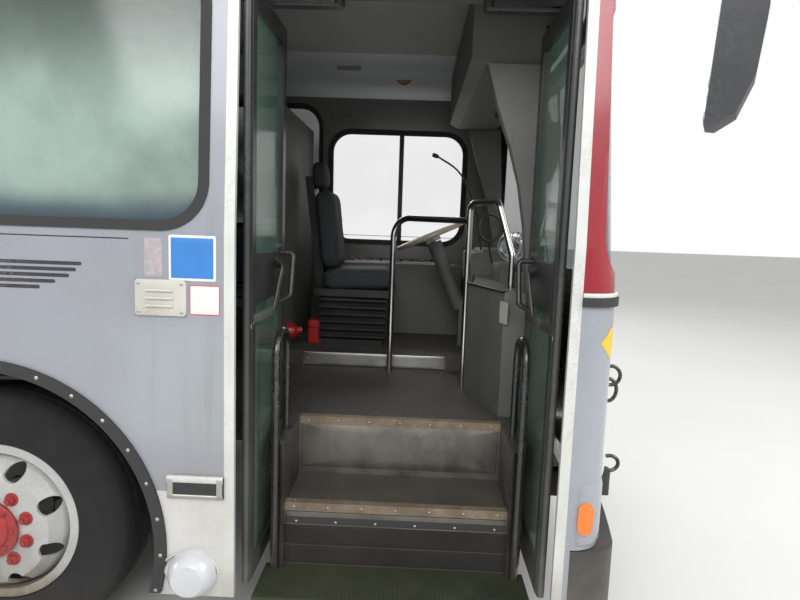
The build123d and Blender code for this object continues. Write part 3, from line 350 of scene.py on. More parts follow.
class Shape:
    """A piece gathered from computed surfaces, each with its finish."""

    def __init__(self) -> None:
        """Start empty."""
        self.points: list[np.ndarray] = []
        self.faces: list = []
        self.marks: list[int] = []
        self.count = 0

    def add(self, surface: Surface, mark: int = 0) -> "Shape":
        """Take in a surface whose faces wear the finish numbered mark."""
        points, faces = surface
        self.points.append(np.asarray(points, float))
        self.faces.extend([[k + self.count for k in f] for f in faces])
        self.marks.extend([mark] * len(faces))
        self.count += len(points)
        return self

    def build(self, name: str, finishes: Sequence["Finish"], body: str, slot: str, smooth: float = 35.0) -> Object:
        """Make the object, close its seams, point its faces outwards and declare where it rides.

        Args:
            name: object name.
            finishes: one finish per mark.
            body: the body it moves with.
            slot: not used.
            smooth: edges flatter than this angle shade smooth.

        Returns:
            The finished object.
        """
        mesh = bpy.data.meshes.new(name)
        mesh.from_pydata(np.concatenate(self.points).tolist(), [], self.faces)
        mesh.polygons.foreach_set("material_index", self.marks)
        for finish in finishes:
            mesh.materials.append(finish.material())
        work = bmesh.new()
        work.from_mesh(mesh)
        bmesh.ops.remove_doubles(work, verts=work.verts, dist=2e-5)
        bmesh.ops.dissolve_degenerate(work, edges=work.edges, dist=1e-6)
        bmesh.ops.recalc_face_normals(work, faces=work.faces)
        work.to_mesh(mesh)
        work.free()
        mesh.polygons.foreach_set("use_smooth", [True] * len(mesh.polygons))
        mesh.set_sharp_from_angle(angle=math.radians(smooth))
        obj = linked(name, mesh)
        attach(obj, body)
        log.info("%s: %d faces on %s", name, len(mesh.polygons), body)
        return obj


def linked(name: str, data: bpy.types.ID) -> Object:
    """A new object in the scene."""
    obj = bpy.data.objects.new(name, data)
    bpy.context.scene.collection.objects.link(obj)
    return obj


class Part:
    """A sub-assembly; each of its steps makes pieces."""

    steps: Sequence[str] = ()

    def build(self) -> None:
        """Run the steps in order."""
        for step in self.steps:
            getattr(self, step)()
        log.info("%s made", type(self).__name__)


# ---- Shader groups and finishes ----

class Tree:
    """Writes nodes into a material or group."""

    def __init__(self, tree: NodeTree) -> None:
        """Take the tree to write in."""
        self.tree = tree

    def add(self, kind: str, inputs: dict | None = None, **settings: object) -> Node:
        """Add a node.

        Args:
            kind: its type without the leading ShaderNode.
            inputs: sockets by name or number, linked or given a constant.
            settings: its own properties.

        Returns:
            The node.
        """
        node = self.tree.nodes.new("ShaderNode" + kind)
        for key, value in settings.items():
            setattr(node, key, value)
        for key, value in (inputs or {}).items():
            self.put(value, node.inputs[key])
        return node

    def put(self, value: object, socket: Socket) -> None:
        """Link a socket, or set its constant."""
        if isinstance(value, Socket):
            self.tree.links.new(value, socket)
        elif isinstance(value, tuple) and len(value) == 3 and socket.type == "RGBA":
            socket.default_value = (*value, 1.0)
        else:
            socket.default_value = value

    def math(self, operation: str, a: object, b: object = 0.0, clamp: bool = False) -> Socket:
        """A sum, product or comparison of two values."""
        return self.add("Math", {0: a, 1: b}, operation=operation, use_clamp=clamp).outputs[0]

    def plus(self, a: object, b: object, clamp: bool = False) -> Socket:
        """a + b."""
        return self.math("ADD", a, b, clamp)

    def minus(self, a: object, b: object) -> Socket:
        """a - b."""
        return self.math("SUBTRACT", a, b)

    def times(self, a: object, b: object, clamp: bool = False) -> Socket:
        """a * b."""
        return self.math("MULTIPLY", a, b, clamp)

    def above(self, a: object, b: object) -> Socket:
        """1 where a is more than b."""
        return self.math("GREATER_THAN", a, b)

    def below(self, a: object, b: object) -> Socket:
        """1 where a is less than b."""
        return self.math("LESS_THAN", a, b)

    def ramp(self, value: object, low: float, high: float) -> Socket:
        """0 at low, 1 at high, smooth between."""
        node = self.add("MapRange", {"Value": value, "From Min": low, "From Max": high},
                        interpolation_type="SMOOTHSTEP")
        return node.outputs[0]

    def both(self, *masks: object) -> Socket:
        """Product of several masks."""
        out = masks[0]
        for mask in masks[1:]:
            out = self.times(out, mask)
        return out

    def mix(self, factor: object, a: object, b: object) -> Socket:
        """Colour a turning to colour b."""
        return self.add("Mix", {0: factor, 6: a, 7: b}, data_type="RGBA").outputs[2]

    def place(self) -> Socket:
        """Object coordinates."""
        return self.add("TexCoord").outputs["Object"]

    def axes(self, vector: object) -> tuple:
        """X, Y and Z of a vector."""
        return tuple(self.add("SeparateXYZ", {0: vector}).outputs)

    def noise(self, vector: object, scale: object, detail: float = 4.0, rough: float = 0.55) -> Socket:
        """Cloudy noise from 0 to 1."""
        return self.add("TexNoise",
                        {"Vector": vector, "Scale": scale, "Detail": detail, "Roughness": rough}).outputs[0]


def dust(t: Tree, given: Sockets) -> tuple:
    """Dust and road dirt: heavy below Low, fading to nothing at High, broken up by two noises."""
    z = t.axes(given["Vector"])[2]
    falling = t.add("MapRange", {"Value": z, "From Min": given["High"], "From Max": given["Low"]}).outputs[0]
    clouds = t.noise(given["Vector"], given["Scale"], 6.0, 0.65)
    fine = t.noise(given["Vector"], t.times(given["Scale"], 14.0), 4.0, 0.7)
    broken = t.times(t.ramp(clouds, 0.3, 0.68), t.plus(t.times(fine, 0.9), 0.35))
    height = t.plus(t.math("POWER", falling, 1.6), 0.06)
    return (t.times(t.times(t.plus(broken, t.times(height, 0.6)), height), given["Amount"], True),)


def streaks(t: Tree, given: Sockets) -> tuple:
    """Rain streaks: noise stretched eighteen times along Z, kept where it is brightest."""
    squashed = t.add("VectorMath", {0: given["Vector"], 1: (1.0, 1.0, 0.055)}, operation="MULTIPLY")
    lines = t.noise(squashed.outputs[0], given["Scale"], 5.0, 0.6)
    patches = t.noise(given["Vector"], 1.4, 2.0)
    return (t.times(t.times(t.ramp(lines, 0.5, 0.78), t.ramp(patches, 0.3, 0.7)), given["Amount"]),)


def grain(t: Tree, given: Sockets) -> tuple:
    """Moulded or sprayed grain: fine noise for the height and broad noise for the tone."""
    return (t.noise(given["Vector"], given["Scale"], 3.0, 0.6), t.noise(given["Vector"], given["Patch"], 5.0, 0.62))


def wear(t: Tree, given: Sockets) -> tuple:
    """Scratches and chips: thin ridges of a distorted noise, gathered in patches."""
    lines = t.add("TexNoise", {"Vector": given["Vector"], "Scale": given["Scale"], "Detail": 8.0, "Roughness": 0.75,
                               "Distortion": 1.2}).outputs[0]
    ridge = t.math("ABSOLUTE", t.minus(lines, 0.5))
    patches = t.noise(given["Vector"], t.times(given["Scale"], 0.17), 3.0)
    thin = t.minus(1.0, t.ramp(ridge, 0.004, 0.03))
    return (t.times(t.times(thin, t.ramp(patches, 0.42, 0.62)), given["Amount"]),)


def weave(t: Tree, given: Sockets) -> tuple:
    """Cloth: two crossed sine waves of the given scale, and flecks of colour."""
    scaled = t.add("VectorMath", {0: given["Vector"], 3: given["Scale"]}, operation="SCALE").outputs[0]
    x, y, z = t.axes(scaled)
    warp = t.math("SINE", t.plus(x, z))
    weft = t.math("SINE", t.minus(y, z))
    return t.times(warp, weft), t.ramp(t.noise(given["Vector"], 160.0, 2.0), 0.45, 0.62)


def inside(t: Tree, given: Sockets) -> tuple:
    """1 deeper than Depth inside the skin, by the distance to rounded rectangles seen from above and behind."""
    x, y, z = t.axes(given["Vector"])
    rise = t.math("MAXIMUM", t.minus(z, SILL_Z), 0.0)
    out_y = t.plus(t.math("ABSOLUTE", y), t.times(rise, LEAN))
    square = t.times(y, y)
    raked = t.times(t.math("MAXIMUM", t.minus(z, BELT_Z), 0.0), RAKE)
    out_x = t.plus(t.plus(x, raked), t.times(square, NOSE_SAG / (HALF_W - CORNER_R) ** 2))
    out_z = t.plus(z, t.times(square, ROOF_RISE / ROOF_HALF ** 2))
    masks = [t.above(x, t.plus(TAIL_X, given["Depth"]))]
    for a, edge, radius in ((out_x, NOSE_X, CORNER_R), (out_z, ROOF_TOP, 0.28)):
        corner = t.add("CombineXYZ", {0: t.minus(a, edge - radius), 1: t.minus(out_y, HALF_W - radius)}).outputs[0]
        past = t.add("VectorMath", {0: corner, 1: (0.0, 0.0, 0.0)}, operation="MAXIMUM").outputs[0]
        length = t.add("VectorMath", {0: past}, operation="LENGTH").outputs["Value"]
        masks.append(t.below(length, t.minus(radius, given["Depth"])))
    return (t.both(*masks),)


GROUPS: dict[str, tuple[Callable, dict[str, float], tuple[str, ...]]] = {
    "Dust": (dust, {"Low": 0.3, "High": 1.2, "Amount": 0.5, "Scale": 3.0}, ("Mask",)),
    "Streaks": (streaks, {"Scale": 12.0, "Amount": 0.3}, ("Mask",)),
    "Grain": (grain, {"Scale": 300.0, "Patch": 4.0}, ("Height", "Tone")),
    "Wear": (wear, {"Scale": 20.0, "Amount": 0.4}, ("Mask",)),
    "Weave": (weave, {"Scale": 900.0}, ("Height", "Fleck")),
    "Inside": (inside, {"Depth": 0.02}, ("Mask",)),
}


def shared(name: str) -> NodeTree:
    """A shader group with named sockets, made the first time it is asked for.

    Args:
        name: a name in GROUPS.

    Returns:
        The group.
    """
    group = bpy.data.node_groups.get(name)
    if group:
        return group
    write, inputs, outputs = GROUPS[name]
    group = bpy.data.node_groups.new(name, "ShaderNodeTree")
    group.interface.new_socket("Vector", in_out="INPUT", socket_type="NodeSocketVector")
    for label, default in inputs.items():
        socket = group.interface.new_socket(label, in_out="INPUT", socket_type="NodeSocketFloat")
        socket.default_value = default
    for label in outputs:
        group.interface.new_socket(label, in_out="OUTPUT", socket_type="NodeSocketFloat")
    t = Tree(group)
    values = write(t, group.nodes.new("NodeGroupInput").outputs)
    for value, socket in zip(values, group.nodes.new("NodeGroupOutput").inputs):
        t.put(value, socket)
    return group


@dataclass(frozen=True)
class Finish:
    """A finish: base colour with mottling, grain, wear, rain streaks and dust.

    Colours are linear. Levels run from 0 to 1, and dust_low and dust_high are heights in metres.
    """

    name: str
    colour: Colour
    roughness: float = 0.5
    metallic: float = 0.0
    coat: float = 0.0
    mottle: float = 0.12
    patch: float = 4.0
    grain: float = 0.1
    grain_scale: float = 300.0
    wear: float = 0.0
    wear_colour: Colour = (0.25, 0.25, 0.25)
    wear_scale: float = 20.0
    streaks: float = 0.0
    dust: float = 0.25
    dust_low: float = 0.2
    dust_high: float = 1.4
    dust_colour: Colour = (0.20, 0.17, 0.125)
    alpha: float = 1.0

    def paint(self, t: Tree, place: Socket) -> object:
        """Colour before dirt; finishes with zones draw theirs here."""
        return self.colour

    def lined(self, t: Tree, place: Socket, base: object) -> object:
        """The dirtied colour; skins turn it to their lining's indoors."""
        return base

    def see_through(self, t: Tree, place: Socket, dirt: Socket) -> object:
        """How solid the surface is."""
        return self.alpha

    def group(self, t: Tree, name: str, place: Socket, **inputs: float) -> Node:
        """Place a shared group, reading the object coordinates."""
        node = t.tree.nodes.new("ShaderNodeGroup")
        node.node_tree = shared(name)
        t.put(place, node.inputs["Vector"])
        for key, value in inputs.items():
            t.put(value, node.inputs[key.replace("_", " ")])
        return node

    def height(self, t: Tree, place: Socket, grain: Node) -> Socket:
        """The bump's height."""
        return grain.outputs["Height"]

    def material(self) -> bpy.types.Material:
        """The material, made once.

        Returns:
            A node-based material of this finish's name.
        """
        made = bpy.data.materials.get(self.name)
        if made:
            return made
        made = bpy.data.materials.new(self.name)
        made.use_nodes = True
        made.node_tree.nodes.clear()
        made.diffuse_color = (*self.colour, 1.0)
        t = Tree(made.node_tree)
        place = t.place()
        grain = self.group(t, "Grain", place, Scale=self.grain_scale, Patch=self.patch)
        tone = t.ramp(grain.outputs["Tone"], 0.3, 0.7)
        base = self.paint(t, place)
        dark = t.mix(1.0, base, (1 - self.mottle,) * 3)
        dark.node.blend_type = "MULTIPLY"
        base = t.mix(tone, dark, base)
        rough = t.plus(self.roughness, t.times(t.minus(tone, 0.5), 0.12))
        if self.wear:
            worn = self.group(t, "Wear", place, Scale=self.wear_scale, Amount=self.wear).outputs["Mask"]
            base = t.mix(worn, base, self.wear_colour)
        if self.streaks:
            runs = self.group(t, "Streaks", place, Amount=self.streaks).outputs["Mask"]
            base = t.mix(runs, base, tuple(c * 0.55 for c in self.dust_colour))
        dirt = self.group(t, "Dust", place, Low=self.dust_low, High=self.dust_high, Amount=self.dust).outputs["Mask"]
        base = self.lined(t, place, t.mix(dirt, base, self.dust_colour))
        rough = t.plus(rough, t.times(dirt, 0.75 - self.roughness), True)
        bump = t.add("Bump", {"Height": self.height(t, place, grain), "Strength": self.grain, "Distance": 0.001})
        shader = t.add("BsdfPrincipled", {"Base Color": base, "Roughness": rough, "Metallic": self.metallic,
                                          "Coat Weight": self.coat, "Coat Roughness": 0.12,
                                          "Normal": bump.outputs[0], "Alpha": self.see_through(t, place, dirt)})
        out = t.add("OutputMaterial")
        t.put(shader.outputs[0], out.inputs[0])
        return made

    def wear_on(self, obj: Object) -> None:
        """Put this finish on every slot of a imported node."""
        for s in obj.material_slots:
            s.material = self.material()
        if not obj.material_slots:
            obj.data.materials.append(self.material())


@dataclass(frozen=True)
class SkinPaint(Finish):
    """Paint outside and dark lining inside."""

    lining: Colour = (0.125, 0.128, 0.120)

    def lined(self, t: Tree, place: Socket, base: object) -> object:
        """The outer colour, turning to the lining's inside the skin."""
        return t.mix(self.group(t, "Inside", place).outputs["Mask"], base, self.lining)


@dataclass(frozen=True)
class SidePaint(SkinPaint):
    """Body paint: white skirt below the rub rail, silver grey above it, with a paler repaired patch."""

    skirt: Colour = (0.66, 0.66, 0.64)
    pale: Colour = (0.31, 0.335, 0.36)
    skirt_top: float = 0.7

    def paint(self, t: Tree, place: Socket) -> object:
        """Grey, a cloudy pale patch beside the door, and the skirt."""
        x, _, z = t.axes(place)
        spread = t.plus(x, t.times(t.minus(t.noise(place, 5.0), 0.5), 0.22))
        patch = t.times(t.ramp(spread, rel(0.42), rel(0.62)), t.ramp(z, 0.80, 0.95))
        upper = t.minus(1.0, t.ramp(z, 1.25, 1.4))
        grey = t.mix(t.times(t.times(patch, upper), t.below(x, rel(0.9))),
                     self.colour, self.pale)
        return t.mix(t.below(z, self.skirt_top), grey, self.skirt)


@dataclass(frozen=True)
class NosePaint(SkinPaint):
    """Front cap paint: grey below the belt, gloss red above it."""

    lower: Colour = (0.295, 0.315, 0.35)
    belt: float = 1.443

    def paint(self, t: Tree, place: Socket) -> object:
        """Red above the belt line."""
        z = t.axes(place)[2]
        return t.mix(t.above(z, self.belt), self.lower, self.colour)


@dataclass(frozen=True)
class FoggedGlass(Finish):
    """Tinted glass with a film of condensation, thickest in the middle of the pane; clear beside the driver."""

    fog: float = 0.5
    fog_low: float = 1.7
    fog_high: float = 2.3
    low_colour: Colour = (0.06, 0.10, 0.13)
    clear_from: float = 99.0

    def driver_side(self, t: Tree, place: Socket) -> Socket:
        """1 on the left panes ahead of clear_from."""
        x, y, _ = t.axes(place)
        return t.both(t.above(x, self.clear_from), t.above(y, 0.0))

    def paint(self, t: Tree, place: Socket) -> object:
        """Dark blue along the pane's foot, pale film in its middle and half as pale at its head."""
        z = t.axes(place)[2]
        wavy = t.plus(z, t.times(t.minus(t.noise(place, 7.0), 0.5), 0.05))
        foot = t.mix(t.ramp(wavy, self.fog_low - 0.02, self.fog_low + 0.08), self.low_colour, self.colour)
        return t.mix(t.ramp(wavy, self.fog_high - 0.25, self.fog_high + 0.15), foot,
                     tuple(c * 0.33 for c in self.colour))

    def see_through(self, t: Tree, place: Socket, dirt: Socket) -> object:
        """Clear tint, plus film where the clouds of noise lie between the two heights."""
        z = t.axes(place)[2]
        film = t.times(t.ramp(z, self.fog_low - 0.1, self.fog_low + 0.15),
                       t.minus(1.0, t.ramp(z, self.fog_high - 0.2, self.fog_high + 0.3)))
        clouds = t.ramp(t.noise(place, 2.2, 5.0), 0.25, 0.6)
        drops = t.plus(t.times(t.noise(place, 150.0, 2.0), 0.5), 0.75)
        film = t.both(film, clouds, drops, self.fog)
        solid = t.plus(t.plus(film, self.alpha), t.times(dirt, 0.4), True)
        return t.times(solid, t.minus(1.0, t.times(self.driver_side(t, place), 0.9)))


@dataclass(frozen=True)
class Cloth(Finish):
    """Woven seat cloth with flecks."""

    fleck: Colour = (0.12, 0.14, 0.2)
    weave_scale: float = 1400.0

    def paint(self, t: Tree, place: Socket) -> object:
        """Ground colour with flecks of a second yarn."""
        weave = self.group(t, "Weave", place, Scale=self.weave_scale)
        return t.mix(t.times(weave.outputs["Fleck"], 0.6), self.colour, self.fleck)

    def height(self, t: Tree, place: Socket, grain: Node) -> Socket:
        """The weave's threads."""
        return self.group(t, "Weave", place, Scale=self.weave_scale).outputs["Height"]


@dataclass(frozen=True)
class SignedPlate(Finish):
    """A blank plate: a field of one colour inside a border of another, cut by distance from its middle."""

    border: Colour = (0.8, 0.8, 0.8)
    middle: tuple[float, float] = (0.0, 0.0)
    inner: tuple[float, float] = (0.05, 0.05)

    def paint(self, t: Tree, place: Socket) -> object:
        """Field colour where both |x - middle| and |z - middle| are small."""
        x, _, z = t.axes(place)
        dx = t.below(t.math("ABSOLUTE", t.minus(x, self.middle[0])), self.inner[0])
        dz = t.below(t.math("ABSOLUTE", t.minus(z, self.middle[1])), self.inner[1])
        return t.mix(t.times(dx, dz), self.border, self.colour)


@dataclass(frozen=True)
class LampPaint(Finish):
    """Lamps by place: clear headlamps, white curb lamp housings, red at the tail, amber elsewhere."""

    clear: Colour = (0.62, 0.64, 0.66)
    red: Colour = (0.50, 0.008, 0.012)

    def paint(self, t: Tree, place: Socket) -> object:
        """Zones cut by X and Z."""
        x, _, z = t.axes(place)
        tail = t.below(x, TAIL_X + 0.1)
        curb = t.both(t.below(z, 0.56), t.above(x, 0.0))
        head = t.both(t.above(x, 5.90), t.below(z, 0.95))
        return t.mix(head, t.mix(curb, t.mix(tail, self.colour, self.red), self.clear), self.clear)


class F(Enum):
    """The finishes of the bus."""

    SIDE = SidePaint("silver_side_paint", (0.285, 0.30, 0.335), 0.3, coat=0.4, mottle=0.07, patch=1.6, grain=0.03,
                     streaks=0.35, dust=0.5, dust_high=1.3)
    NOSE = NosePaint("nose_paint", (0.28, 0.010, 0.020), 0.25, coat=0.5, mottle=0.08, grain=0.03, streaks=0.25,
                     dust=0.2, dust_high=1.2)
    ROOF = SkinPaint("roof_paint", (0.46, 0.47, 0.475), 0.6, mottle=0.2, patch=1.2, streaks=0.2, dust=0.35,
                     dust_low=2.5, dust_high=3.6, dust_colour=(0.28, 0.26, 0.22))
    WHITE = Finish("white_trim_paint", (0.65, 0.66, 0.63), 0.35, coat=0.3, mottle=0.08, wear=0.35, streaks=0.3,
                   dust=0.45)
    WHEEL_WHITE = Finish("wheel_enamel", (0.50, 0.51, 0.50), 0.4, coat=0.2, mottle=0.15, patch=7.0, wear=0.3,
                         wear_colour=(0.16, 0.09, 0.05), dust=0.75, dust_high=1.1, dust_colour=(0.17, 0.14, 0.10))
    TYRE = Finish("tyre_rubber", (0.008, 0.008, 0.009), 0.9, mottle=0.3, patch=9.0, grain=0.4, grain_scale=500.0,
                  dust=0.2, dust_high=1.1, dust_colour=(0.05, 0.045, 0.04))
    RUBBER = Finish("black_rubber", (0.018, 0.018, 0.020), 0.62, mottle=0.25, grain=0.25, dust=0.3, dust_high=1.6)
    BUMPER = Finish("bumper_skin", (0.022, 0.023, 0.027), 0.5, mottle=0.25, grain=0.5, grain_scale=220.0, wear=0.3,
                    wear_colour=(0.09, 0.09, 0.095), dust=0.35)
    CHASSIS = Finish("chassis_coat", (0.028, 0.026, 0.024), 0.7, mottle=0.4, grain=0.5, grain_scale=120.0, dust=0.8,
                     dust_high=1.1, dust_colour=(0.13, 0.105, 0.075))
    GLASS = FoggedGlass("tinted_window_glass", (0.10, 0.17, 0.145), 0.08, mottle=0.1, grain=0.0, dust=0.15,
                        dust_low=1.5, dust_high=2.0, alpha=0.42, fog=0.0)
    FOGGED = FoggedGlass("fogged_window_glass", (0.27, 0.36, 0.32), 0.12, mottle=0.25, grain=0.05, patch=2.5,
                         dust=0.1, dust_low=1.5, dust_high=2.0, alpha=0.66, fog=0.35, clear_from=rel(0.86))
    DOOR_GLASS = FoggedGlass("door_glass", (0.18, 0.29, 0.24), 0.08, mottle=0.2, grain=0.0, dust=0.5, dust_low=0.3,
                             dust_high=1.6, alpha=0.42, fog=0.1, fog_low=0.2, fog_high=3.2,
                             dust_colour=(0.2, 0.23, 0.19))
    DOOR_BLACK = Finish("door_frame_black", (0.022, 0.024, 0.024), 0.4, coat=0.2, mottle=0.25, wear=0.25,
                        wear_colour=(0.2, 0.2, 0.19), dust=0.5, dust_high=1.9, dust_colour=(0.13, 0.135, 0.11))
    STAINLESS = Finish("stained_stainless", (0.26, 0.25, 0.23), 0.40, metallic=0.9, mottle=0.45, patch=6.0,
                       grain=0.05, wear=0.5, wear_colour=(0.13, 0.11, 0.08), streaks=0.6, dust=0.75, dust_high=1.1,
                       dust_colour=(0.12, 0.10, 0.075))
    CHROME = Finish("polished_rail", (0.66, 0.66, 0.64), 0.16, metallic=1.0, mottle=0.08, grain=0.0, dust=0.12)
    ALUMINIUM = Finish("scuffed_aluminium", (0.50, 0.50, 0.48), 0.38, metallic=1.0, mottle=0.2, patch=8.0, wear=0.4,
                       wear_colour=(0.3, 0.29, 0.27), dust=0.25)
    PLATFORM = Finish("mossy_platform", (0.024, 0.031, 0.014), 0.75, mottle=0.55, patch=7.0, grain=0.5, dust=0.5,
                      dust_high=0.9, dust_colour=(0.045, 0.05, 0.022))
    NOSING = Finish("dirty_nosing", (0.27, 0.205, 0.14), 0.6, mottle=0.5, patch=12.0, wear=0.8,
                    wear_colour=(0.08, 0.06, 0.045), dust=0.5, dust_colour=(0.10, 0.075, 0.05))
    MAT = Finish("ribbed_floor_rubber", (0.062, 0.060, 0.052), 0.62, mottle=0.45, patch=5.0, grain=0.4, dust=0.6,
                 dust_high=1.6, dust_colour=(0.11, 0.098, 0.078))
    INSIDE = Finish("grained_inside_panel", (0.118, 0.119, 0.108), 0.6, mottle=0.18, grain=0.35, grain_scale=260.0,
                    wear=0.15, dust=0.15)
    APRON = Finish("apron_rubber", (0.004, 0.004, 0.005), 0.9, mottle=0.3, dust=0.08)
    WHEEL_RIM = Finish("worn_cream_rim", (0.42, 0.37, 0.28), 0.45, coat=0.3, mottle=0.25, wear=0.3,
                       wear_colour=(0.12, 0.10, 0.08), dust=0.1)
    LINING = Finish("grey_lining", (0.20, 0.20, 0.185), 0.6, mottle=0.15, grain=0.25, dust=0.1)
    CEILING = Finish("olive_ceiling", (0.36, 0.36, 0.31), 0.7, mottle=0.15, grain=0.2, dust=0.0)
    BLACK = Finish("satin_black", (0.012, 0.012, 0.013), 0.42, mottle=0.2, grain=0.15, wear=0.15, dust=0.12)
    TUBE_BLACK = Finish("gloss_black_tube", (0.010, 0.010, 0.011), 0.25, coat=0.4, mottle=0.1, wear=0.5,
                        wear_colour=(0.13, 0.12, 0.11), dust=0.2, dust_high=1.0)
    SEAT_SHELL = Finish("seat_shell", (0.075, 0.09, 0.12), 0.5, mottle=0.1, grain=0.3, wear=0.2, dust=0.1)
    SEAT_CLOTH = Cloth("saloon_seat_cloth", (0.035, 0.05, 0.10), 0.9, mottle=0.2, grain=0.35, dust=0.05)
    DRIVER_CLOTH = Cloth("driver_seat_cloth", (0.038, 0.040, 0.042), 0.85, mottle=0.2, grain=0.35, dust=0.06,
                         fleck=(0.04, 0.042, 0.05))
    AMBER = Finish("amber_lens", (0.85, 0.20, 0.01), 0.2, coat=0.6, mottle=0.2, grain=0.4, grain_scale=90.0,
                   dust=0.15)
    RED_LENS = Finish("red_lens", (0.50, 0.008, 0.012), 0.18, coat=0.6, mottle=0.1, grain=0.4, grain_scale=90.0,
                      dust=0.2)
    CLEAR_LENS = Finish("clear_lens", (0.62, 0.64, 0.66), 0.12, metallic=0.35, coat=0.8, mottle=0.15, dust=0.2)
    MIRROR = Finish("mirror_glass", (0.72, 0.75, 0.76), 0.04, metallic=1.0, mottle=0.03, grain=0.0, dust=0.08)
    RED = Finish("safety_red", (0.50, 0.012, 0.010), 0.35, coat=0.4, mottle=0.15, wear=0.2, dust=0.2)
    HUB_RED = Finish("brushed_red_paint", (0.36, 0.02, 0.022), 0.5, mottle=0.35, patch=40.0, grain=0.2, dust=0.5,
                     dust_high=1.0, dust_colour=(0.16, 0.12, 0.09))
    LAMP = LampPaint("lamp_plastics", (0.85, 0.20, 0.01), 0.2, coat=0.6, mottle=0.15, grain=0.4, grain_scale=90.0,
                     dust=0.15)
    BLUE = SignedPlate("blue_plate", (0.035, 0.20, 0.55), 0.35, coat=0.2, mottle=0.08, dust=0.1,
                       border=(0.75, 0.77, 0.78), middle=(4.4645, 1.5445), inner=(0.074, 0.070))
    WHITE_CARD = SignedPlate("white_plate", (0.72, 0.70, 0.68), 0.45, mottle=0.08, dust=0.15,
                             border=(0.5, 0.05, 0.05), middle=(4.5075, 1.3995), inner=(0.050, 0.049))
    GREY_CARD = Finish("grey_plate", (0.42, 0.38, 0.40), 0.5, mottle=0.2, patch=60.0, dust=0.2)
    YELLOW = Finish("yellow_plate", (0.72, 0.50, 0.03), 0.45, mottle=0.1, dust=0.15)
    STRIPE = Finish("stripe_film", (0.03, 0.03, 0.035), 0.4, mottle=0.1, wear=0.25, wear_colour=(0.3, 0.3, 0.31),
                    dust=0.2)
    CREAM = Finish("louvre_enamel", (0.55, 0.54, 0.48), 0.45, mottle=0.15, wear=0.4, wear_colour=(0.25, 0.15, 0.08),
                   dust=0.35, dust_high=1.6)
    IRON = Finish("engine_iron", (0.06, 0.06, 0.06), 0.6, mottle=0.4, grain=0.8, grain_scale=80.0, dust=0.4)
    STEEL = Finish("zinc_steel", (0.42, 0.42, 0.40), 0.45, metallic=1.0, mottle=0.25, patch=14.0, dust=0.4)
    DISPLAY = Finish("sign_display", (0.006, 0.006, 0.007), 0.35, mottle=0.1, grain=0.6, grain_scale=60.0, dust=0.0)

    def material(self) -> bpy.types.Material:
        """The finish's material."""
        return self.value.material()


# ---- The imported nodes' finishes ----

NODES_BY_FINISH: dict[F, str] = {
    F.SIDE: "wall_left wall_right rear_cap engine_door",
    F.NOSE: "front_cap",
    F.ROOF: "roof roof_hatch_front roof_hatch_rear",
    F.WHITE: "door_jambs",
    F.RUBBER: "body_trims window_gaskets",
    F.BUMPER: "bumpers mirrors",
    F.CHASSIS: "chassis_frame front_axle rear_axle knuckle_left knuckle_right wheel_housings",
    F.IRON: "engine_block",
    F.MAT: "floor",
    F.STAINLESS: "stepwells",
    F.NOSING: "step_nosings",
    F.PLATFORM: "lift_platform",
    F.TUBE_BLACK: "lift_handrails bike_rack",
    F.CHROME: "handrails",
    F.INSIDE: "overhead_casings dash partitions",
    F.BLACK: "driver_seat_base",
    F.DRIVER_CLOTH: "driver_seat_pads",
    F.SEAT_SHELL: "passenger_seats",
    F.SEAT_CLOTH: "seat_pads",
    F.WHEEL_RIM: "steering_wheel",
    F.FOGGED: "side_glass",
    F.GLASS: "front_glass",
    F.DOOR_GLASS: "entry_glass_front entry_glass_rear exit_glass_front exit_glass_rear",
    F.DOOR_BLACK: "entry_leaf_front entry_leaf_rear exit_leaf_front exit_leaf_rear",
    F.LAMP: "lamps",
    F.WHEEL_WHITE: "rim_front_left rim_front_right rim_rear_left rim_rear_right",
    F.TYRE: "tyre_front_left tyre_front_right tyre_rear_left tyre_rear_right",
}


# ---- Running gear ----

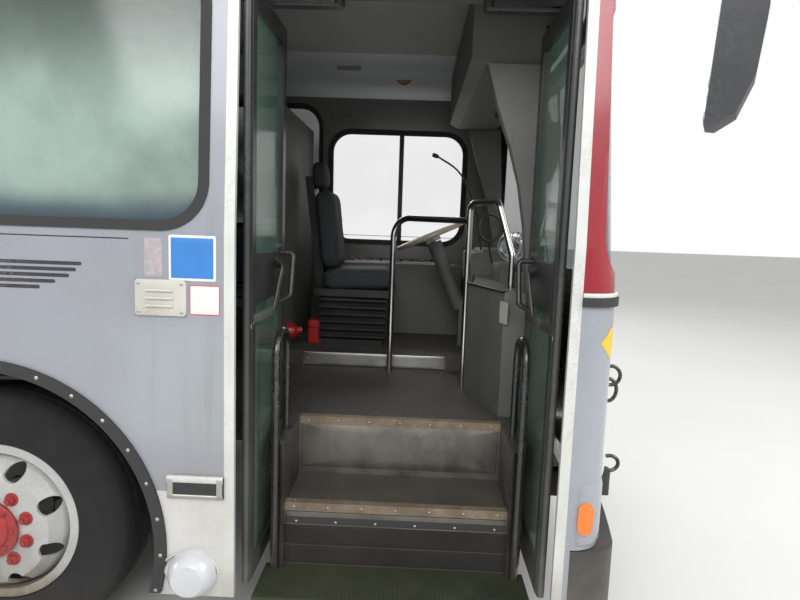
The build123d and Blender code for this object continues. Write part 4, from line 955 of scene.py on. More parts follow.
@dataclass
class RoadWheel(Part):
    """A tyre or a twin pair with its nuts and hub, on one body."""

    steps = ("tyres", "hub")
    end: str
    name: str
    side: int
    radius: float = 0.505
    width: float = 0.288
    twin_pitch: float = 0.33
    blocks: int = 60
    groove: float = 0.011
    nuts: int = 10
    nut_circle: float = 0.1429
    small_bolts: int = 8
    small_circle: float = 0.093
    rim_lip: float = 0.300

    @property
    def front(self) -> bool:
        """Whether this is a steered wheel."""
        return self.end == "front"

    @property
    def x(self) -> float:
        """X of the axle."""
        return AXLE_F if self.front else AXLE_R

    def tread(self, y: float) -> Surface:
        """A tyre: radius follows its side profile, less a groove depth that depends on angle and width.

        Args:
            y: its middle along the axle.

        Returns:
            The closed tyre.
        """
        h = self.width / 2
        spine = np.array([(0.2875, 0.104), (0.309, 0.106), (0.312, 0.124), (0.335, 0.137), (0.37, 0.143),
                          (0.40, h), (0.44, h - 0.003), (0.455, h - 0.002), (0.47, h - 0.009), (0.487, h - 0.017),
                          (0.499, h - 0.030), (0.503, h - 0.048)])
        ribs = np.array([0.094, 0.062, 0.059, 0.049, 0.046, 0.018, 0.015, 0.004, 0.001])
        deep = np.array([0, 0, 1, 1, 0, 0, 1, 1, 0])
        crown = np.stack([self.radius - 0.002 * (ribs / h) ** 2, ribs], -1)
        half = np.concatenate([spine, crown])
        groove = np.concatenate([np.zeros(len(spine)), deep * self.groove])
        zone = np.concatenate([np.zeros(8), np.array([0.3, 0.7, 1.0, 1.0]), 1.0 - deep])
        profile = np.concatenate([half, half[::-1] * (1, -1)])
        groove = np.concatenate([groove, groove[::-1]])
        zone = np.concatenate([zone, zone[::-1]])
        n = self.blocks * 4
        a = np.arange(n) / n * 2 * np.pi
        lateral = (np.arange(n) % 4 == 0).astype(float)
        shift = np.roll(lateral, 2)
        outer = np.abs(profile[:, 1]) > 0.05
        notch = 0.003 if self.front else 0.007
        cut = np.where(outer[None, :], lateral[:, None], shift[:, None]) * zone[None, :] * notch
        r = profile[None, :, 0] - groove[None, :] - cut
        points = np.stack([np.cos(a)[:, None] * r, np.broadcast_to(profile[None, :, 1], r.shape),
                           np.sin(a)[:, None] * r], -1)
        return grid(points + np.array([self.x, y, WHEEL_Z]), True, True)

    @property
    def body(self) -> str:
        """The body the wheel rides on."""
        return f"wheel_front_{self.name}" if self.front else f"wheels_rear_{self.name}"

    def tyres(self) -> None:
        """The tyre, or both tyres of a twin pair."""
        tyres = Shape()
        for y in (WHEEL_Y,) if self.front else (WHEEL_Y, WHEEL_Y - self.twin_pitch):
            tyres.add(self.tread(self.side * y))
        obj = tyres.build(f"{self.end}_{self.name}_tyre_tread", [F.TYRE], self.body, "tyre", 40)
        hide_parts(f"tyre_{self.end}_{self.name}")

    def on_circle(self, radius: float, k: float, count: int, y: float) -> np.ndarray:
        """The k-th of count places on a circle about the axle."""
        a = 2 * math.pi * k / count
        return np.array([self.x + radius * math.cos(a), self.side * y, WHEEL_Z + radius * math.sin(a)])

    def hub(self) -> None:
        """Wheel nuts on their washers, hub cap with its bolts, and the rim's lip."""
        face = WHEEL_Y + (0.165 if self.front else -0.154)
        hub_end = WHEEL_Y + (0.179 if self.front else -0.065)
        out = np.array((0, self.side, 0))
        gear = Shape()
        for k in range(self.nuts):
            at = self.on_circle(self.nut_circle, k + 0.5, self.nuts, face)
            gear.add(lathe([(0.026, 0), (0.026, 0.0025), (0.02, 0.004), (0, 0.004)], at, out, 20))
            gear.add(nut(at + out * 0.003, out, 0.0185, 0.020), 1)
        if self.front:
            cap = [(0.112, -0.006), (0.112, 0.002), (0.104, 0.006), (0.082, 0.007), (0.078, 0.014), (0.060, 0.018),
                   (0.030, 0.020), (0, 0.0205)]
        else:
            cap = [(0.112, -0.02), (0.112, 0.004), (0.098, 0.012), (0.06, 0.014), (0.055, 0.03), (0.02, 0.034),
                   (0, 0.034)]
        gear.add(lathe(cap, (self.x, self.side * hub_end, WHEEL_Z), out, 40), 2)
        for k in range(self.small_bolts):
            at = self.on_circle(self.small_circle, k, self.small_bolts, hub_end + 0.006)
            gear.add(nut(at, out, 0.009, 0.006), 1)
        r = self.rim_lip
        lip = [(r, -0.002), (r + 0.0065, 0), (r + 0.0065, 0.0008), (r + 0.001, 0.0015), (r, -0.002)]
        gear.add(lathe(lip, (self.x, self.side * (WHEEL_Y + 0.118), WHEEL_Z), out, 64), 3)
        hub = F.HUB_RED if self.front else F.WHEEL_WHITE
        finishes = [F.HUB_RED, F.HUB_RED, hub, F.WHEEL_WHITE]
        gear.build(f"{self.end}_{self.name}_hub_nuts", finishes, self.body, "white_steel")


# ---- Outside ----

@dataclass
class SideDress(Part):
    """What is fixed on the outer walls: seams, rivets, stripes, plates and skirt doors."""

    steps = ("seams", "arches", "rub_rail", "stripes", "plates", "curb_lamp", "belt")
    seam_z: float = 1.605
    joints: tuple[float, ...] = (-0.70, -2.2, -3.7, -5.0, -6.4, -8.0)
    joint_w: float = 0.003
    rivet_out: float = 0.02
    rivet_pitch: float = 0.075
    door_low: float = 0.345
    door_high: float = 0.655
    door_gap: float = 0.004
    arch_circle: float = 0.662
    bead_z: float = 0.752
    lip_drop: float = 0.063
    stripe_top: float = 1.512
    stripe_ends: tuple[float, ...] = (0.0, 0.02, 0.045, 0.095, 0.15)
    stripe_pitch: float = 0.0215
    stripe_h: float = 0.013
    lamp_r: float = 0.092

    def flat(self, side: int, x0: float, x1: float, z0: float, z1: float, thick: float = 0.0012,
             corner: float = 0.002) -> Surface:
        """A thin plate on the upright wall, its outline from x0 to x1 and z0 to z1."""
        middle = ((x0 + x1) / 2, side * HALF_W, (z0 + z1) / 2)
        return plate(middle, (-side, 0, 0), UP, (x1 - x0, z1 - z0, thick), corner, min(0.0006, thick / 2))

    def seams(self) -> None:
        """Panel joints with rivets, and skirt doors with their latches."""
        shape = Shape()
        low, high, gap = self.door_low, self.door_high, self.door_gap
        for side in (1, -1):
            end = rel(2.1) if side > 0 else rel(0.56)
            shape.add(self.flat(side, TAIL_X + 0.43, end, self.seam_z - 0.002, self.seam_z + 0.002))
            for x in map(rel, self.joints):
                at_exit = side < 0 and PORTALS["exit"][0] - 0.1 < x < PORTALS["exit"][1] + 0.1
                if at_exit or abs(x - AXLE_R) < 0.75:
                    continue
                half = self.joint_w / 2
                shape.add(self.flat(side, x - half, x + half, 0.31, self.seam_z - 0.007))
                for z in np.arange(0.80, 1.58, self.rivet_pitch):
                    for dx in (-self.rivet_out, self.rivet_out):
                        shape.add(screw((x + dx, side * HALF_W, z), (0, side, 0), 0.0045), 1)
            third = (AXLE_R + 0.9, AXLE_R + 1.5) if side > 0 else (rel(-3.9), rel(-3.7))
            doors = ((rel(-2.6), rel(-1.75)), (rel(-3.6), rel(-2.75)), third, (AXLE_R - 1.9, AXLE_R - 0.95))
            for x0, x1 in doors:
                for edges in ((x0, x1, low, low + gap), (x0, x1, high - gap, high), (x0, x0 + gap, low, high),
                              (x1 - gap, x1, low, high)):
                    shape.add(self.flat(side, *edges))
                for x in (x0 + 0.12, x1 - 0.12) if x1 - x0 > 0.4 else ():
                    latch = [(0.018, 0), (0.018, 0.003), (0.013, 0.005), (0, 0.005)]
                    shape.add(lathe(latch, (x, side * HALF_W, high - 0.06), (0, side, 0), 20), 2)
        shape.build("side_panel_joints", [F.BLACK, F.SIDE, F.STEEL], "bus", "silver_paint")

    def arches(self) -> None:
        """Screws round the wheel arch rubbers."""
        shape = Shape()
        for side in (1, -1):
            for x in (AXLE_F, AXLE_R):
                for a in np.radians(np.arange(-14, 195, 12.0)):
                    dx, dz = self.arch_circle * math.cos(a), self.arch_circle * math.sin(a)
                    shape.add(screw((x + dx, side * (HALF_W + 0.0123), ARCH_Z + dz), (0, side, 0), 0.0075))
        shape.build("arch_screws", [F.STEEL], "bus", "black_rubber")

    def rub_rail(self) -> None:
        """White bead over and grey lip under the black rub rail, each a strip along the side."""
        shape = Shape()
        bead, lip = rounded(0.020, 0.026, 0.008, 4), rounded(0.018, 0.016, 0.005, 4)
        z, y = self.bead_z, HALF_W + 0.0083
        for side in (1, -1):
            runs = [(TAIL_X + 0.42, AXLE_R - ARCH_HALF), (AXLE_R + ARCH_HALF, AXLE_F - ARCH_HALF),
                    (AXLE_F + ARCH_HALF, PORTALS["entry"][side > 0])]
            if side < 0:
                runs[1:2] = [(AXLE_R + ARCH_HALF, PORTALS["exit"][0]), (PORTALS["exit"][1], AXLE_F - ARCH_HALF)]
            for x0, x1 in runs:
                shape.add(bar((x0, side * y, z), (x1, side * y, z), bead))
                shape.add(bar((x0, side * y, z - self.lip_drop), (x1, side * y, z - self.lip_drop), lip), 1)
                for x in (x0 + 0.012, x1 - 0.012):
                    middle = (x, side * (HALF_W + 0.001), 0.7215)
                    shape.add(plate(middle, (-side, 0, 0), UP, (0.022, 0.082, 0.0185), 0.006, 0.004), 1)
        shape.build("rub_rail_beads", [F.WHITE, F.ALUMINIUM], "bus", "black_rubber")

    def stripes(self) -> None:
        """Five black lines, each a little shorter than the one above it."""
        shape = Shape()
        for side in (1, -1):
            for n, short in enumerate(self.stripe_ends):
                low = self.stripe_top - n * self.stripe_pitch - self.stripe_h / 2
                left, right = rel(-3.55) + n * 0.06, rel(0.395) - short
                shape.add(self.flat(side, left, right, low, low + self.stripe_h, 0.0008, 0.006))
        shape.build("side_stripes", [F.STRIPE], "bus", "silver_paint")

    def plates(self) -> None:
        """Blank plates and the louvred cover by the entrance."""
        shape = Shape()
        shape.add(self.flat(-1, rel(0.700), rel(0.864), 1.466, 1.623, 0.0012, 0.006))
        shape.add(self.flat(-1, rel(0.772), rel(0.878), 1.347, 1.452, 0.0010, 0.003), 1)
        shape.add(self.flat(-1, rel(0.615), rel(0.676), 1.478, 1.610, 0.0010, 0.003), 2)
        shape.build("entrance_plates", [F.BLUE, F.WHITE_CARD, F.GREY_CARD], "bus", "silver_paint")
        cover = Shape()
        x0, x1, z0, z1 = rel(0.583), rel(0.762), 1.341, 1.468
        middle = ((x0 + x1) / 2, -HALF_W - 0.001, (z0 + z1) / 2)
        cover.add(plate(middle, RIGHT, UP, (x1 - x0, z1 - z0, 0.0095), 0.01, 0.003))
        a = np.linspace(0, np.pi, 9)
        hood = np.stack([np.cos(a), np.sin(a)], -1) * 0.009
        y = -HALF_W - 0.0100
        for z in (1.374, 1.401, 1.428):
            cover.add(bar((x0 + 0.04, y, z), (x1 - 0.045, y, z), hood))
        for dx in (0.014, 0.165):
            for dz in (0.014, 0.113):
                cover.add(screw((x0 + dx, y - 0.0005, z0 + dz), (0, -1, 0), 0.006), 1)
        cover.build("louvred_cover", [F.CREAM, F.STEEL], "bus", "silver_paint")

    def curb_lamp(self) -> None:
        """Hooded lamp on the skirt: a half dome whose radius swells to its middle, and a clear lens under it."""
        centre = np.array([rel(0.768), -HALF_W, 0.395])
        u = np.linspace(0, np.pi, 25)[:, None]
        v = np.linspace(0, np.pi / 2, 10)[None, :]
        r = self.lamp_r

        def dome(wide: float, deep: float, tall: float, drop: float) -> np.ndarray:
            """Half of a squashed ball standing off the wall."""
            return np.stack([r * wide * np.cos(u) * np.cos(v), -r * deep * np.sin(v) * np.ones_like(u),
                             r * tall * np.sin(u) * np.cos(v) - drop], -1) + centre

        shape = Shape()
        shape.add(grid(dome(1.03, 0.62, 0.75, 0.0)))
        shape.add(grid(dome(0.97, 0.58, 0.70, 0.001)[:, ::-1]))
        lens = [(0.060, 0.001), (0.060, 0.014), (0.048, 0.03), (0.03, 0.038), (0, 0.041)]
        shape.add(lathe(lens, (centre[0], -HALF_W, 0.372), (0, -1, -0.35), 28), 1)
        a = np.linspace(0, np.pi, 30)
        rim = np.stack([0.106 * np.cos(a), np.zeros(30), 0.078 * np.sin(a)], -1) + centre + (0, -0.003, 0)
        shape.add(sweep(rounded(0.006, 0.018, 0.002, 3), rim, (0, 1, 0)))
        shape.build("curb_lamp_hood", [F.WHITE, F.CLEAR_LENS], "bus", "lamp_plastic")

    def belt(self) -> None:
        """White bead over the black belt strip, carried round both corners and along the bowed nose."""
        shape = Shape().add(sweep(rounded(0.012, 0.017, 0.005, 4), nose_line(1.4665, 0.004, 0.02), UP))
        shape.build("belt_bead", [F.WHITE], "bus", "white_paint")


# ---- Entrance ----

@dataclass
class Entrance(Part):
    """Mats, strips, screws and handles of the doorways."""

    steps = ("mats", "edges", "handles")
    rib_pitch: float = 0.0105
    rib_h: float = 0.0035
    platform_ribs: tuple[float, float] = (0.016, 0.003)
    aisle_ribs: tuple[float, float] = (0.014, 0.0025)
    aisle_half: float = 0.33
    strip_drop: float = 0.014
    leaf_planes: tuple[float, float] = (4.6345, 5.7485)

    def mats(self) -> None:
        """Ribbed mats on the treads, the platform and the front floor."""
        y0 = -HALF_W
        ribs = (self.rib_pitch, self.rib_h)
        shape = Shape()
        for xa, xb in PORTALS.values():
            x0 = xa + STEP_FROM_JAMB
            x1 = xb - STEP_FROM_JAMB
            shape.add(ribbed(x0 + 0.004, x1 - 0.004, y0 + 0.276, y0 + 0.545, TREAD_Z, *ribs))
            shape.add(ribbed(x0 - 0.064, x1 + 0.064, y0 + 0.012, y0 + 0.236, PLATFORM_Z, *self.platform_ribs), 1)
        shape.add(ribbed(STEP_X0 + 0.004, STEP_X1 - 0.004, y0 + 0.58, y0 + 0.655, FLOOR_Z, *ribs))
        shape.add(ribbed(rel(0.70), rel(1.98), y0 + 0.662, 0.22, FLOOR_Z, *ribs))
        shape.add(ribbed(-4.6, rel(0.69), -self.aisle_half, self.aisle_half, FLOOR_Z, *self.aisle_ribs, False))
        shape.build("ribbed_mats", [F.MAT, F.PLATFORM], "bus", "rubber_floor")

    def edges(self) -> None:
        """Riveted rubber strip and apron below the first tread, riser seams and platform edge trim."""
        y = RISER_OUT
        shape = Shape()
        middle = (STEP_X0 + STEP_X1) / 2
        width = STEP_X1 - STEP_X0
        shape.add(plate((middle, y, 0.492), RIGHT, UP, (width - 0.01, 0.030, 0.006), 0.004, 0.002))
        shape.add(plate((middle, y, 0.428), RIGHT, UP, (width + 0.10, 0.082, 0.004), 0.004, 0.002), 1)
        shape.add(plate((middle, y, 0.345), RIGHT, UP, (width + 0.10, 0.075, 0.003), 0.004, 0.002), 1)
        for x in np.linspace(STEP_X0 + 0.05, STEP_X1 - 0.05, 6):
            shape.add(screw((x, y - 0.006, 0.486), (0, -1, 0), 0.006), 2)
        for z, riser in ((TREAD_Z, RISER_OUT), (FLOOR_Z, RISER_IN)):
            for x in np.linspace(STEP_X0 + 0.04, STEP_X1 - 0.04, 7):
                shape.add(screw((x, riser - 0.005, z - self.strip_drop), (0, -1, 0), 0.005), 2)
                shape.add(screw((x, riser + 0.015, z + 0.005), UP, 0.0045), 2)
        shape.add(plate((middle, RISER_IN, 0.690), RIGHT, UP, (width - 0.02, 0.20, 0.002), 0.004, 0.001), 3)
        shape.add(plate((middle, y, 0.516), RIGHT, UP, (width - 0.012, 0.022, 0.005), 0.003, 0.001), 3)
        shape.add(plate((rel(1.32), DRIVE_EDGE_Y, 0.866), RIGHT, UP, (0.88, 0.080, 0.006), 0.004, 0.002), 4)
        for x in np.linspace(rel(0.92), rel(1.72), 9):
            shape.add(screw((x, DRIVE_EDGE_Y - 0.006, 0.866), (0, -1, 0), 0.006), 2)
        shape.build("step_edges", [F.RUBBER, F.APRON, F.STEEL, F.STAINLESS, F.ALUMINIUM], "bus", "stainless")

    def handles(self) -> None:
        """Bent aluminium pulls on the open leaves: a slanted grip, a short upper foot and a long lower one."""
        for part, plane, inward in zip(("rear", "front"), self.leaf_planes, (1, -1)):
            shape = Shape()
            run = [(0.016, -0.860, 1.512), (0.056, -0.895, 1.497), (0.058, -1.045, 1.341), (0.012, -1.195, 1.322),
                   (0.012, -1.200, 1.290)]
            path = smooth_path([(plane + inward * d, y, z) for d, y, z in run], 0.012, 5)
            shape.add(sweep(rounded(0.034, 0.007, 0.003, 3), path, RIGHT))
            for y, z in ((-0.850, 1.53), (-1.200, 1.31)):
                foot = (plane + inward * 0.006, y, z)
                shape.add(plate(foot, (0, -inward, 0), UP, (0.045, 0.060, 0.012), 0.008, 0.002), 1)
                shape.add(screw((foot[0] + inward * 0.012, y, z), (inward, 0, 0), 0.006), 2)
            shape.build(f"entry_handle_{part}", [F.STEEL, F.BLACK, F.STEEL], f"entry_door_{part}", "stainless")


# ---- Driver's place ----

@dataclass
class DriverPlace(Part):
    """Dash furniture, fan, microphone, mirrors and the small things round the driver."""

    steps = ("furniture", "dash_side", "fan_unit", "microphone", "odds")
    fan: tuple[float, float, float] = (5.717, -0.33, 1.60)
    fan_r: float = 0.075
    fan_bars: int = 12
    fan_blades: int = 5
    switches: int = 9
    switch_pitch: float = 0.075
    dials: tuple[float, ...] = (0.50, 0.60, 0.70, 0.80)
    console_z: float = 1.42
    ring_mirror: tuple[float, float, float] = (5.665, 0.22, 1.69)
    tool_x: float = 4.48
    tool_y: float = 0.32
    round_mirror: tuple[float, float, float] = (5.742, -0.60, 2.475)
    cove_plate: tuple[float, float, float] = (5.104, 1.098, 2.745)

    def furniture(self) -> None:
        """Dash boxes, console and instrument binnacle."""
        shape = Shape()
        top, console = DASH_TOP, self.console_z
        shape.add(box_between((rel(1.96), 0.38, top), (rel(2.14), 0.92, top + 0.16), 0.02, 0.03))
        shape.add(plate((rel(1.958), 0.65, top + 0.09), (0, 1, 0), (0.25, 0, 1), (0.44, 0.13, 0.008), 0.02, 0.003), 1)
        shape.add(box_between((rel(2.00), -0.10, top), (rel(2.16), 0.22, top + 0.10), 0.02, 0.03))
        shape.add(box_between((rel(2.05), -0.45, top), (rel(2.17), -0.22, top + 0.07), 0.012, 0.02))
        shape.add(box_between((rel(0.98), 0.98, DRIVE_FLOOR_Z), (rel(1.9), 1.22, console), 0.02, 0.03))
        shape.add(plate((rel(1.45), 1.10, console), RIGHT, (0, 1, 0.1), (0.7, 0.17, 0.012), 0.02, 0.004), 1)
        button = [(0.012, 0), (0.012, 0.012), (0.010, 0.016), (0, 0.017)]
        for n in range(self.switches):
            at = (rel(1.15) + n * self.switch_pitch, 1.08 + 0.03 * (n % 2), console + 0.01)
            shape.add(lathe(button, at, UP, 14), 1 if n % 3 else 2)
        dial = [(0.042, 0), (0.042, 0.006), (0.036, 0.008), (0.034, 0.004), (0, 0.004)]
        for y in self.dials:
            shape.add(lathe(dial, (rel(1.951), y, top + 0.092), (-1, 0, 0.25), 24), 3)
        shape.build("dash_furniture", [F.INSIDE, F.BLACK, F.RED, F.DISPLAY], "bus", "dark_plastic")

    def dash_side(self) -> None:
        """Small plate, edge bead and screws on the dash's side panel."""
        shape = Shape()
        near, far = np.array([rel(1.96), -0.635]), np.array([rel(1.83), -0.225])
        run = unit(near - far)
        out = (run[1], -run[0], 0)
        shape.add(plate((5.641, -0.632, 1.307), (-run[0], -run[1], 0), UP, (0.075, 0.10, 0.004), 0.008, 0.001))
        shape.add(bar((*far, DASH_TOP + 0.002), (*near, DASH_TOP + 0.002), rounded(0.018, 0.012, 0.005, 4)), 1)
        for z in (0.86, 1.10, 1.36):
            for s in (0.06, 0.5, 0.94):
                p = far + (near - far) * s
                shape.add(screw((p[0], p[1], z), out, 0.006), 2)
        shape.build("dash_side_trim", [F.CREAM, F.BLACK, F.STEEL], "bus", "dark_plastic")

    def fan_unit(self) -> None:
        """Clear dash fan with its hub, cage rings, bars and blades, and the small ring mirror beside it."""
        middle = np.array(self.fan)
        axis = unit((-0.45, -0.85, 0.05))
        side = unit(np.cross(axis, UP))
        up = np.cross(side, axis)
        shape = Shape()
        shape.add(lathe([(0, -0.03), (0.028, -0.03), (0.03, 0.0), (0.024, 0.022), (0, 0.026)], middle, axis, 24))
        a = np.linspace(0, 2 * np.pi, 41)
        for r, off in ((self.fan_r, 0.0), (0.072, 0.016), (0.050, 0.024)):
            ring = middle + r * (np.cos(a)[:, None] * side + np.sin(a)[:, None] * up) + off * axis
            shape.add(sweep(disc_profile(0.0018, 6), ring, axis), 1)
        for b in np.arange(self.fan_bars) * 2 * np.pi / self.fan_bars:
            d = math.cos(b) * side + math.sin(b) * up
            path = np.stack([middle + axis * lift + d * r
                             for lift, r in ((0.024, 0.02), (0.024, 0.05), (0.016, 0.072), (0.0, self.fan_r))])
            shape.add(sweep(disc_profile(0.0014, 5), path, np.cross(d, axis)), 1)
        s, w = np.meshgrid(np.linspace(0, 1, 8), np.linspace(-1, 1, 6), indexing="ij")
        wide = 0.012 + 0.02 * np.sin(np.pi * s * 0.9)
        for b in np.arange(self.fan_blades) * 2 * np.pi / self.fan_blades:
            d = math.cos(b) * side + math.sin(b) * up
            e = np.cross(axis, d)
            blade = (middle + (0.022 + 0.046 * s)[..., None] * d + (w * wide)[..., None] * e
                     + (0.01 * w)[..., None] * axis)
            shape.add(grid(blade), 2)
            shape.add(grid((blade + axis * 0.0012)[:, ::-1]), 2)
        base = middle - axis * 0.02
        foot = (middle[0] + 0.03, middle[1] + 0.02, DASH_TOP + 0.05)
        shape.add(rod([base, base - up * 0.10 - axis * 0.02, foot], 0.009, 0.03, side))
        x, y, z = self.ring_mirror
        a = np.linspace(0, 2 * np.pi, 33)
        hoop = np.stack([x + 0.068 * np.cos(a), y + 0.02 * np.cos(a), z + 0.078 * np.sin(a)], -1)
        shape.add(sweep(disc_profile(0.007, 8), hoop, (0.28, -0.96, 0.0)))
        stem = [(x, y + 0.005, z - 0.078), (x + 0.005, y + 0.01, z - 0.13), (x + 0.035, y + 0.03, DASH_TOP + 0.05)]
        shape.add(rod(stem, 0.006, 0.03, (0, 1, 0)))
        shape.build("dash_fan", [F.BLACK, F.CHROME, F.CLEAR_LENS], "bus", "dark_plastic")

    def microphone(self) -> None:
        """Gooseneck: a thin arm that rises from the dash and bows over to its head."""
        points = [(rel(1.98), 0.52, 1.45), (rel(1.93), 0.44, 1.80), (rel(1.80), 0.36, 2.03), (rel(1.66), 0.30, 2.10)]
        head = [(0, -0.005), (0.010, -0.004), (0.013, 0.01), (0.012, 0.03), (0, 0.036)]
        shape = Shape()
        shape.add(rod(points, 0.0055, 0.2, (0, 1, 0.1), 10))
        shape.add(lathe(head, points[-1], (-1, -0.4, 0.3), 18))
        shape.build("gooseneck_microphone", [F.BLACK], "bus", "dark_plastic")

    def odds(self) -> None:
        """Extinguisher, red box, overhead mirror and the fittings high over the driver."""
        shape = Shape()
        x, y = self.tool_x, self.tool_y
        bottle = [(0, 0), (0.05, 0.004), (0.056, 0.02), (0.056, 0.25), (0.05, 0.28), (0.025, 0.30), (0.02, 0.33),
                  (0, 0.33)]
        shape.add(lathe(bottle, (x - 0.26, y - 0.02, 0.975), (1, 0.25, 0.12), 28))
        shape.add(box_between((x + 0.07, y + 0.16, DRIVE_FLOOR_Z), (x + 0.22, y + 0.30, 1.06), 0.01, 0.02))
        shape.add(box_between((x + 0.068, y + 0.158, 1.01), (x + 0.222, y + 0.302, 1.016), 0.002, 0.02), 1)
        shape.build("extinguisher_and_box", [F.RED, F.BLACK], "bus", "dark_plastic")
        top = Shape()
        x, y, z = self.round_mirror
        back = [(0.0, 0), (0.085, 0), (0.094, 0.006), (0.090, 0.016), (0.05, 0.03), (0, 0.036)]
        glass = [(0.0, -0.001), (0.078, -0.001), (0.083, -0.0005), (0.0, 0.012)]
        top.add(lathe(back, (x, y, z), (0.8, 0.55, 0.2), 36))
        top.add(lathe(glass, (x - 0.002, y - 0.001, z), (-0.8, -0.55, -0.2), 36), 1)
        top.add(rod([(5.75, -0.585, 2.49), (5.76, -0.54, 2.62), (5.70, -0.50, 2.80)], 0.008, 0.04, RIGHT))
        top.build("overhead_mirror", [F.BLACK, F.MIRROR], "bus", "mirror_plastic")
        small = Shape()
        cove = np.array([0.0, -0.86, -0.5])
        small.add(plate((4.72, 1.00, 2.800), RIGHT, np.cross(cove, RIGHT), (0.17, 0.09, 0.02), 0.01, 0.003))
        rim = [(0.062, 0), (0.062, 0.0015), (0.050, 0.0018), (0.050, 0.0022), (0.049, 0.0018)]
        small.add(lathe(rim, self.cove_plate, cove, 36), 1)
        small.add(lathe([(0.050, 0), (0.050, 0.0014), (0, 0.0014)], self.cove_plate, cove, 36), 3)
        face = ((0.86, 0.5, 0), (0.1, -0.17, 0.9))
        small.add(plate((5.62, -0.55, 2.26), *face, (0.11, 0.17, 0.05), 0.012, 0.004), 2)
        small.add(plate((5.645, -0.595, 2.26), *face, (0.085, 0.13, 0.008), 0.008, 0.002), 3)
        small.build("cove_fittings", [F.LINING, F.RED, F.BLACK, F.LINING], "bus", "dark_plastic")


# ---- Soft seats ----

@dataclass
class Pads:
    """Seat cushions, simulated once per form and placed by tables."""

    voxel: float = 0.012
    pressure: float = 4.0
    frames: int = 20

    def crowned(self, size: Sequence, corner: float, crown: float = 0.10) -> Surface:
        """A closed pad: outline shrinks as sqrt(1 - s^4) towards both faces, and the upper one rises as 1 - r^2.

        Args:
            size: length, width and thickness.
            corner: corner radius.
            crown: rise of the upper face's middle, as a share of the thickness.

        Returns:
            The pad about the origin.
        """
        w, h, t = size
        level = np.sin(np.linspace(-np.pi / 2, np.pi / 2, 13))
        rings = []
        base = rounded(w, h, corner, 9)
        for s in level:
            shrink = 1 - 0.5 * t * (1 - (1 - s ** 4) ** 0.5) / min(w, h)
            rings.append(np.concatenate([base * shrink, np.full((len(base), 1), s * t / 2)], -1))
        for r in (0.7, 0.4, 0.12):
            top = t / 2 + crown * t * (1 - r ** 2)
            rings.append(np.concatenate([base * r, np.full((len(base), 1), top)], -1))
            rings.insert(0, np.concatenate([base * r, np.full((len(base), 1), -t / 2)], -1))
        return capped(np.stack(rings))

    def swell(self, name: str, size: Sequence, corner: float, cap: float) -> tuple[np.ndarray, list]:
        """One pad blown up by cloth under pressure.

        Args:
            name: name for the working object.
            size: length, width and thickness.
            corner: corner radius.
            cap: how far a point may move.

        Returns:
            Points about the origin and the faces.
        """
        shape = Shape().add(self.crowned(np.array(size) * (0.985, 0.985, 0.90), corner))
        mesh = bpy.data.meshes.new(name)
        mesh.from_pydata(np.concatenate(shape.points).tolist(), [], shape.faces)
        obj = linked(name, mesh)
        remesh = obj.modifiers.new("voxels", "REMESH")
        remesh.mode = "VOXEL"
        remesh.voxel_size = self.voxel
        self.settle(obj)
        before = self.read(obj)
        cloth = obj.modifiers.new("cloth", "CLOTH")
        cloth.settings.use_pressure = True
        cloth.settings.uniform_pressure_force = self.pressure
        cloth.settings.effector_weights.gravity = 0.0
        scene = bpy.context.scene
        for frame_number in range(1, self.frames + 1):
            scene.frame_set(frame_number)
        self.settle(obj)
        scene.frame_set(1)
        after = self.read(obj)
        move = after - before
        length = np.linalg.norm(move, axis=1, keepdims=True)
        before = before + move * np.minimum(1.0, cap / np.maximum(length, 1e-9))
        limit = np.array(size) * 0.5 + (0.004, 0.004, 0.006)
        points = np.clip(before, -limit, limit)
        faces = [list(p.vertices) for p in obj.data.polygons]
        bpy.data.objects.remove(obj)
        return points, faces

    def settle(self, obj: Object) -> None:
        """Apply the modifiers of a working object."""
        graph = bpy.context.evaluated_depsgraph_get()
        mesh = bpy.data.meshes.new_from_object(obj.evaluated_get(graph))
        obj.modifiers.clear()
        obj.data = mesh

    def read(self, obj: Object) -> np.ndarray:
        """The vertices of an object."""
        out = np.empty(len(obj.data.vertices) * 3)
        obj.data.vertices.foreach_get("co", out)
        return out.reshape(-1, 3)

    def placed(self, pad: Surface, centre: Sequence, tip: float = 0.0, channels: Sequence = (),
               depth: float = 0.006) -> Surface:
        """A pad turned about Y, with sewn channels pressed into its upper face.

        Args:
            pad: a pad about the origin, its upper face towards +Z.
            centre: where its middle goes.
            tip: degrees that its upper face turns towards +X.
            channels: places along its own Y where a seam is pressed in.
            depth: depth of a seam.

        Returns:
            The placed surface.
        """
        points, faces = pad
        points = points.copy()
        top = points[:, 2] > 0
        width = 0.6 * self.voxel
        for c in channels:
            points[:, 2] -= top * depth * np.exp(-((points[:, 1] - c) / width) ** 2)
        a = math.radians(tip)
        turn = np.array([[math.cos(a), 0, math.sin(a)], [0, 1, 0], [-math.sin(a), 0, math.cos(a)]])
        return points @ turn.T + np.asarray(centre, float), [list(f) for f in faces]


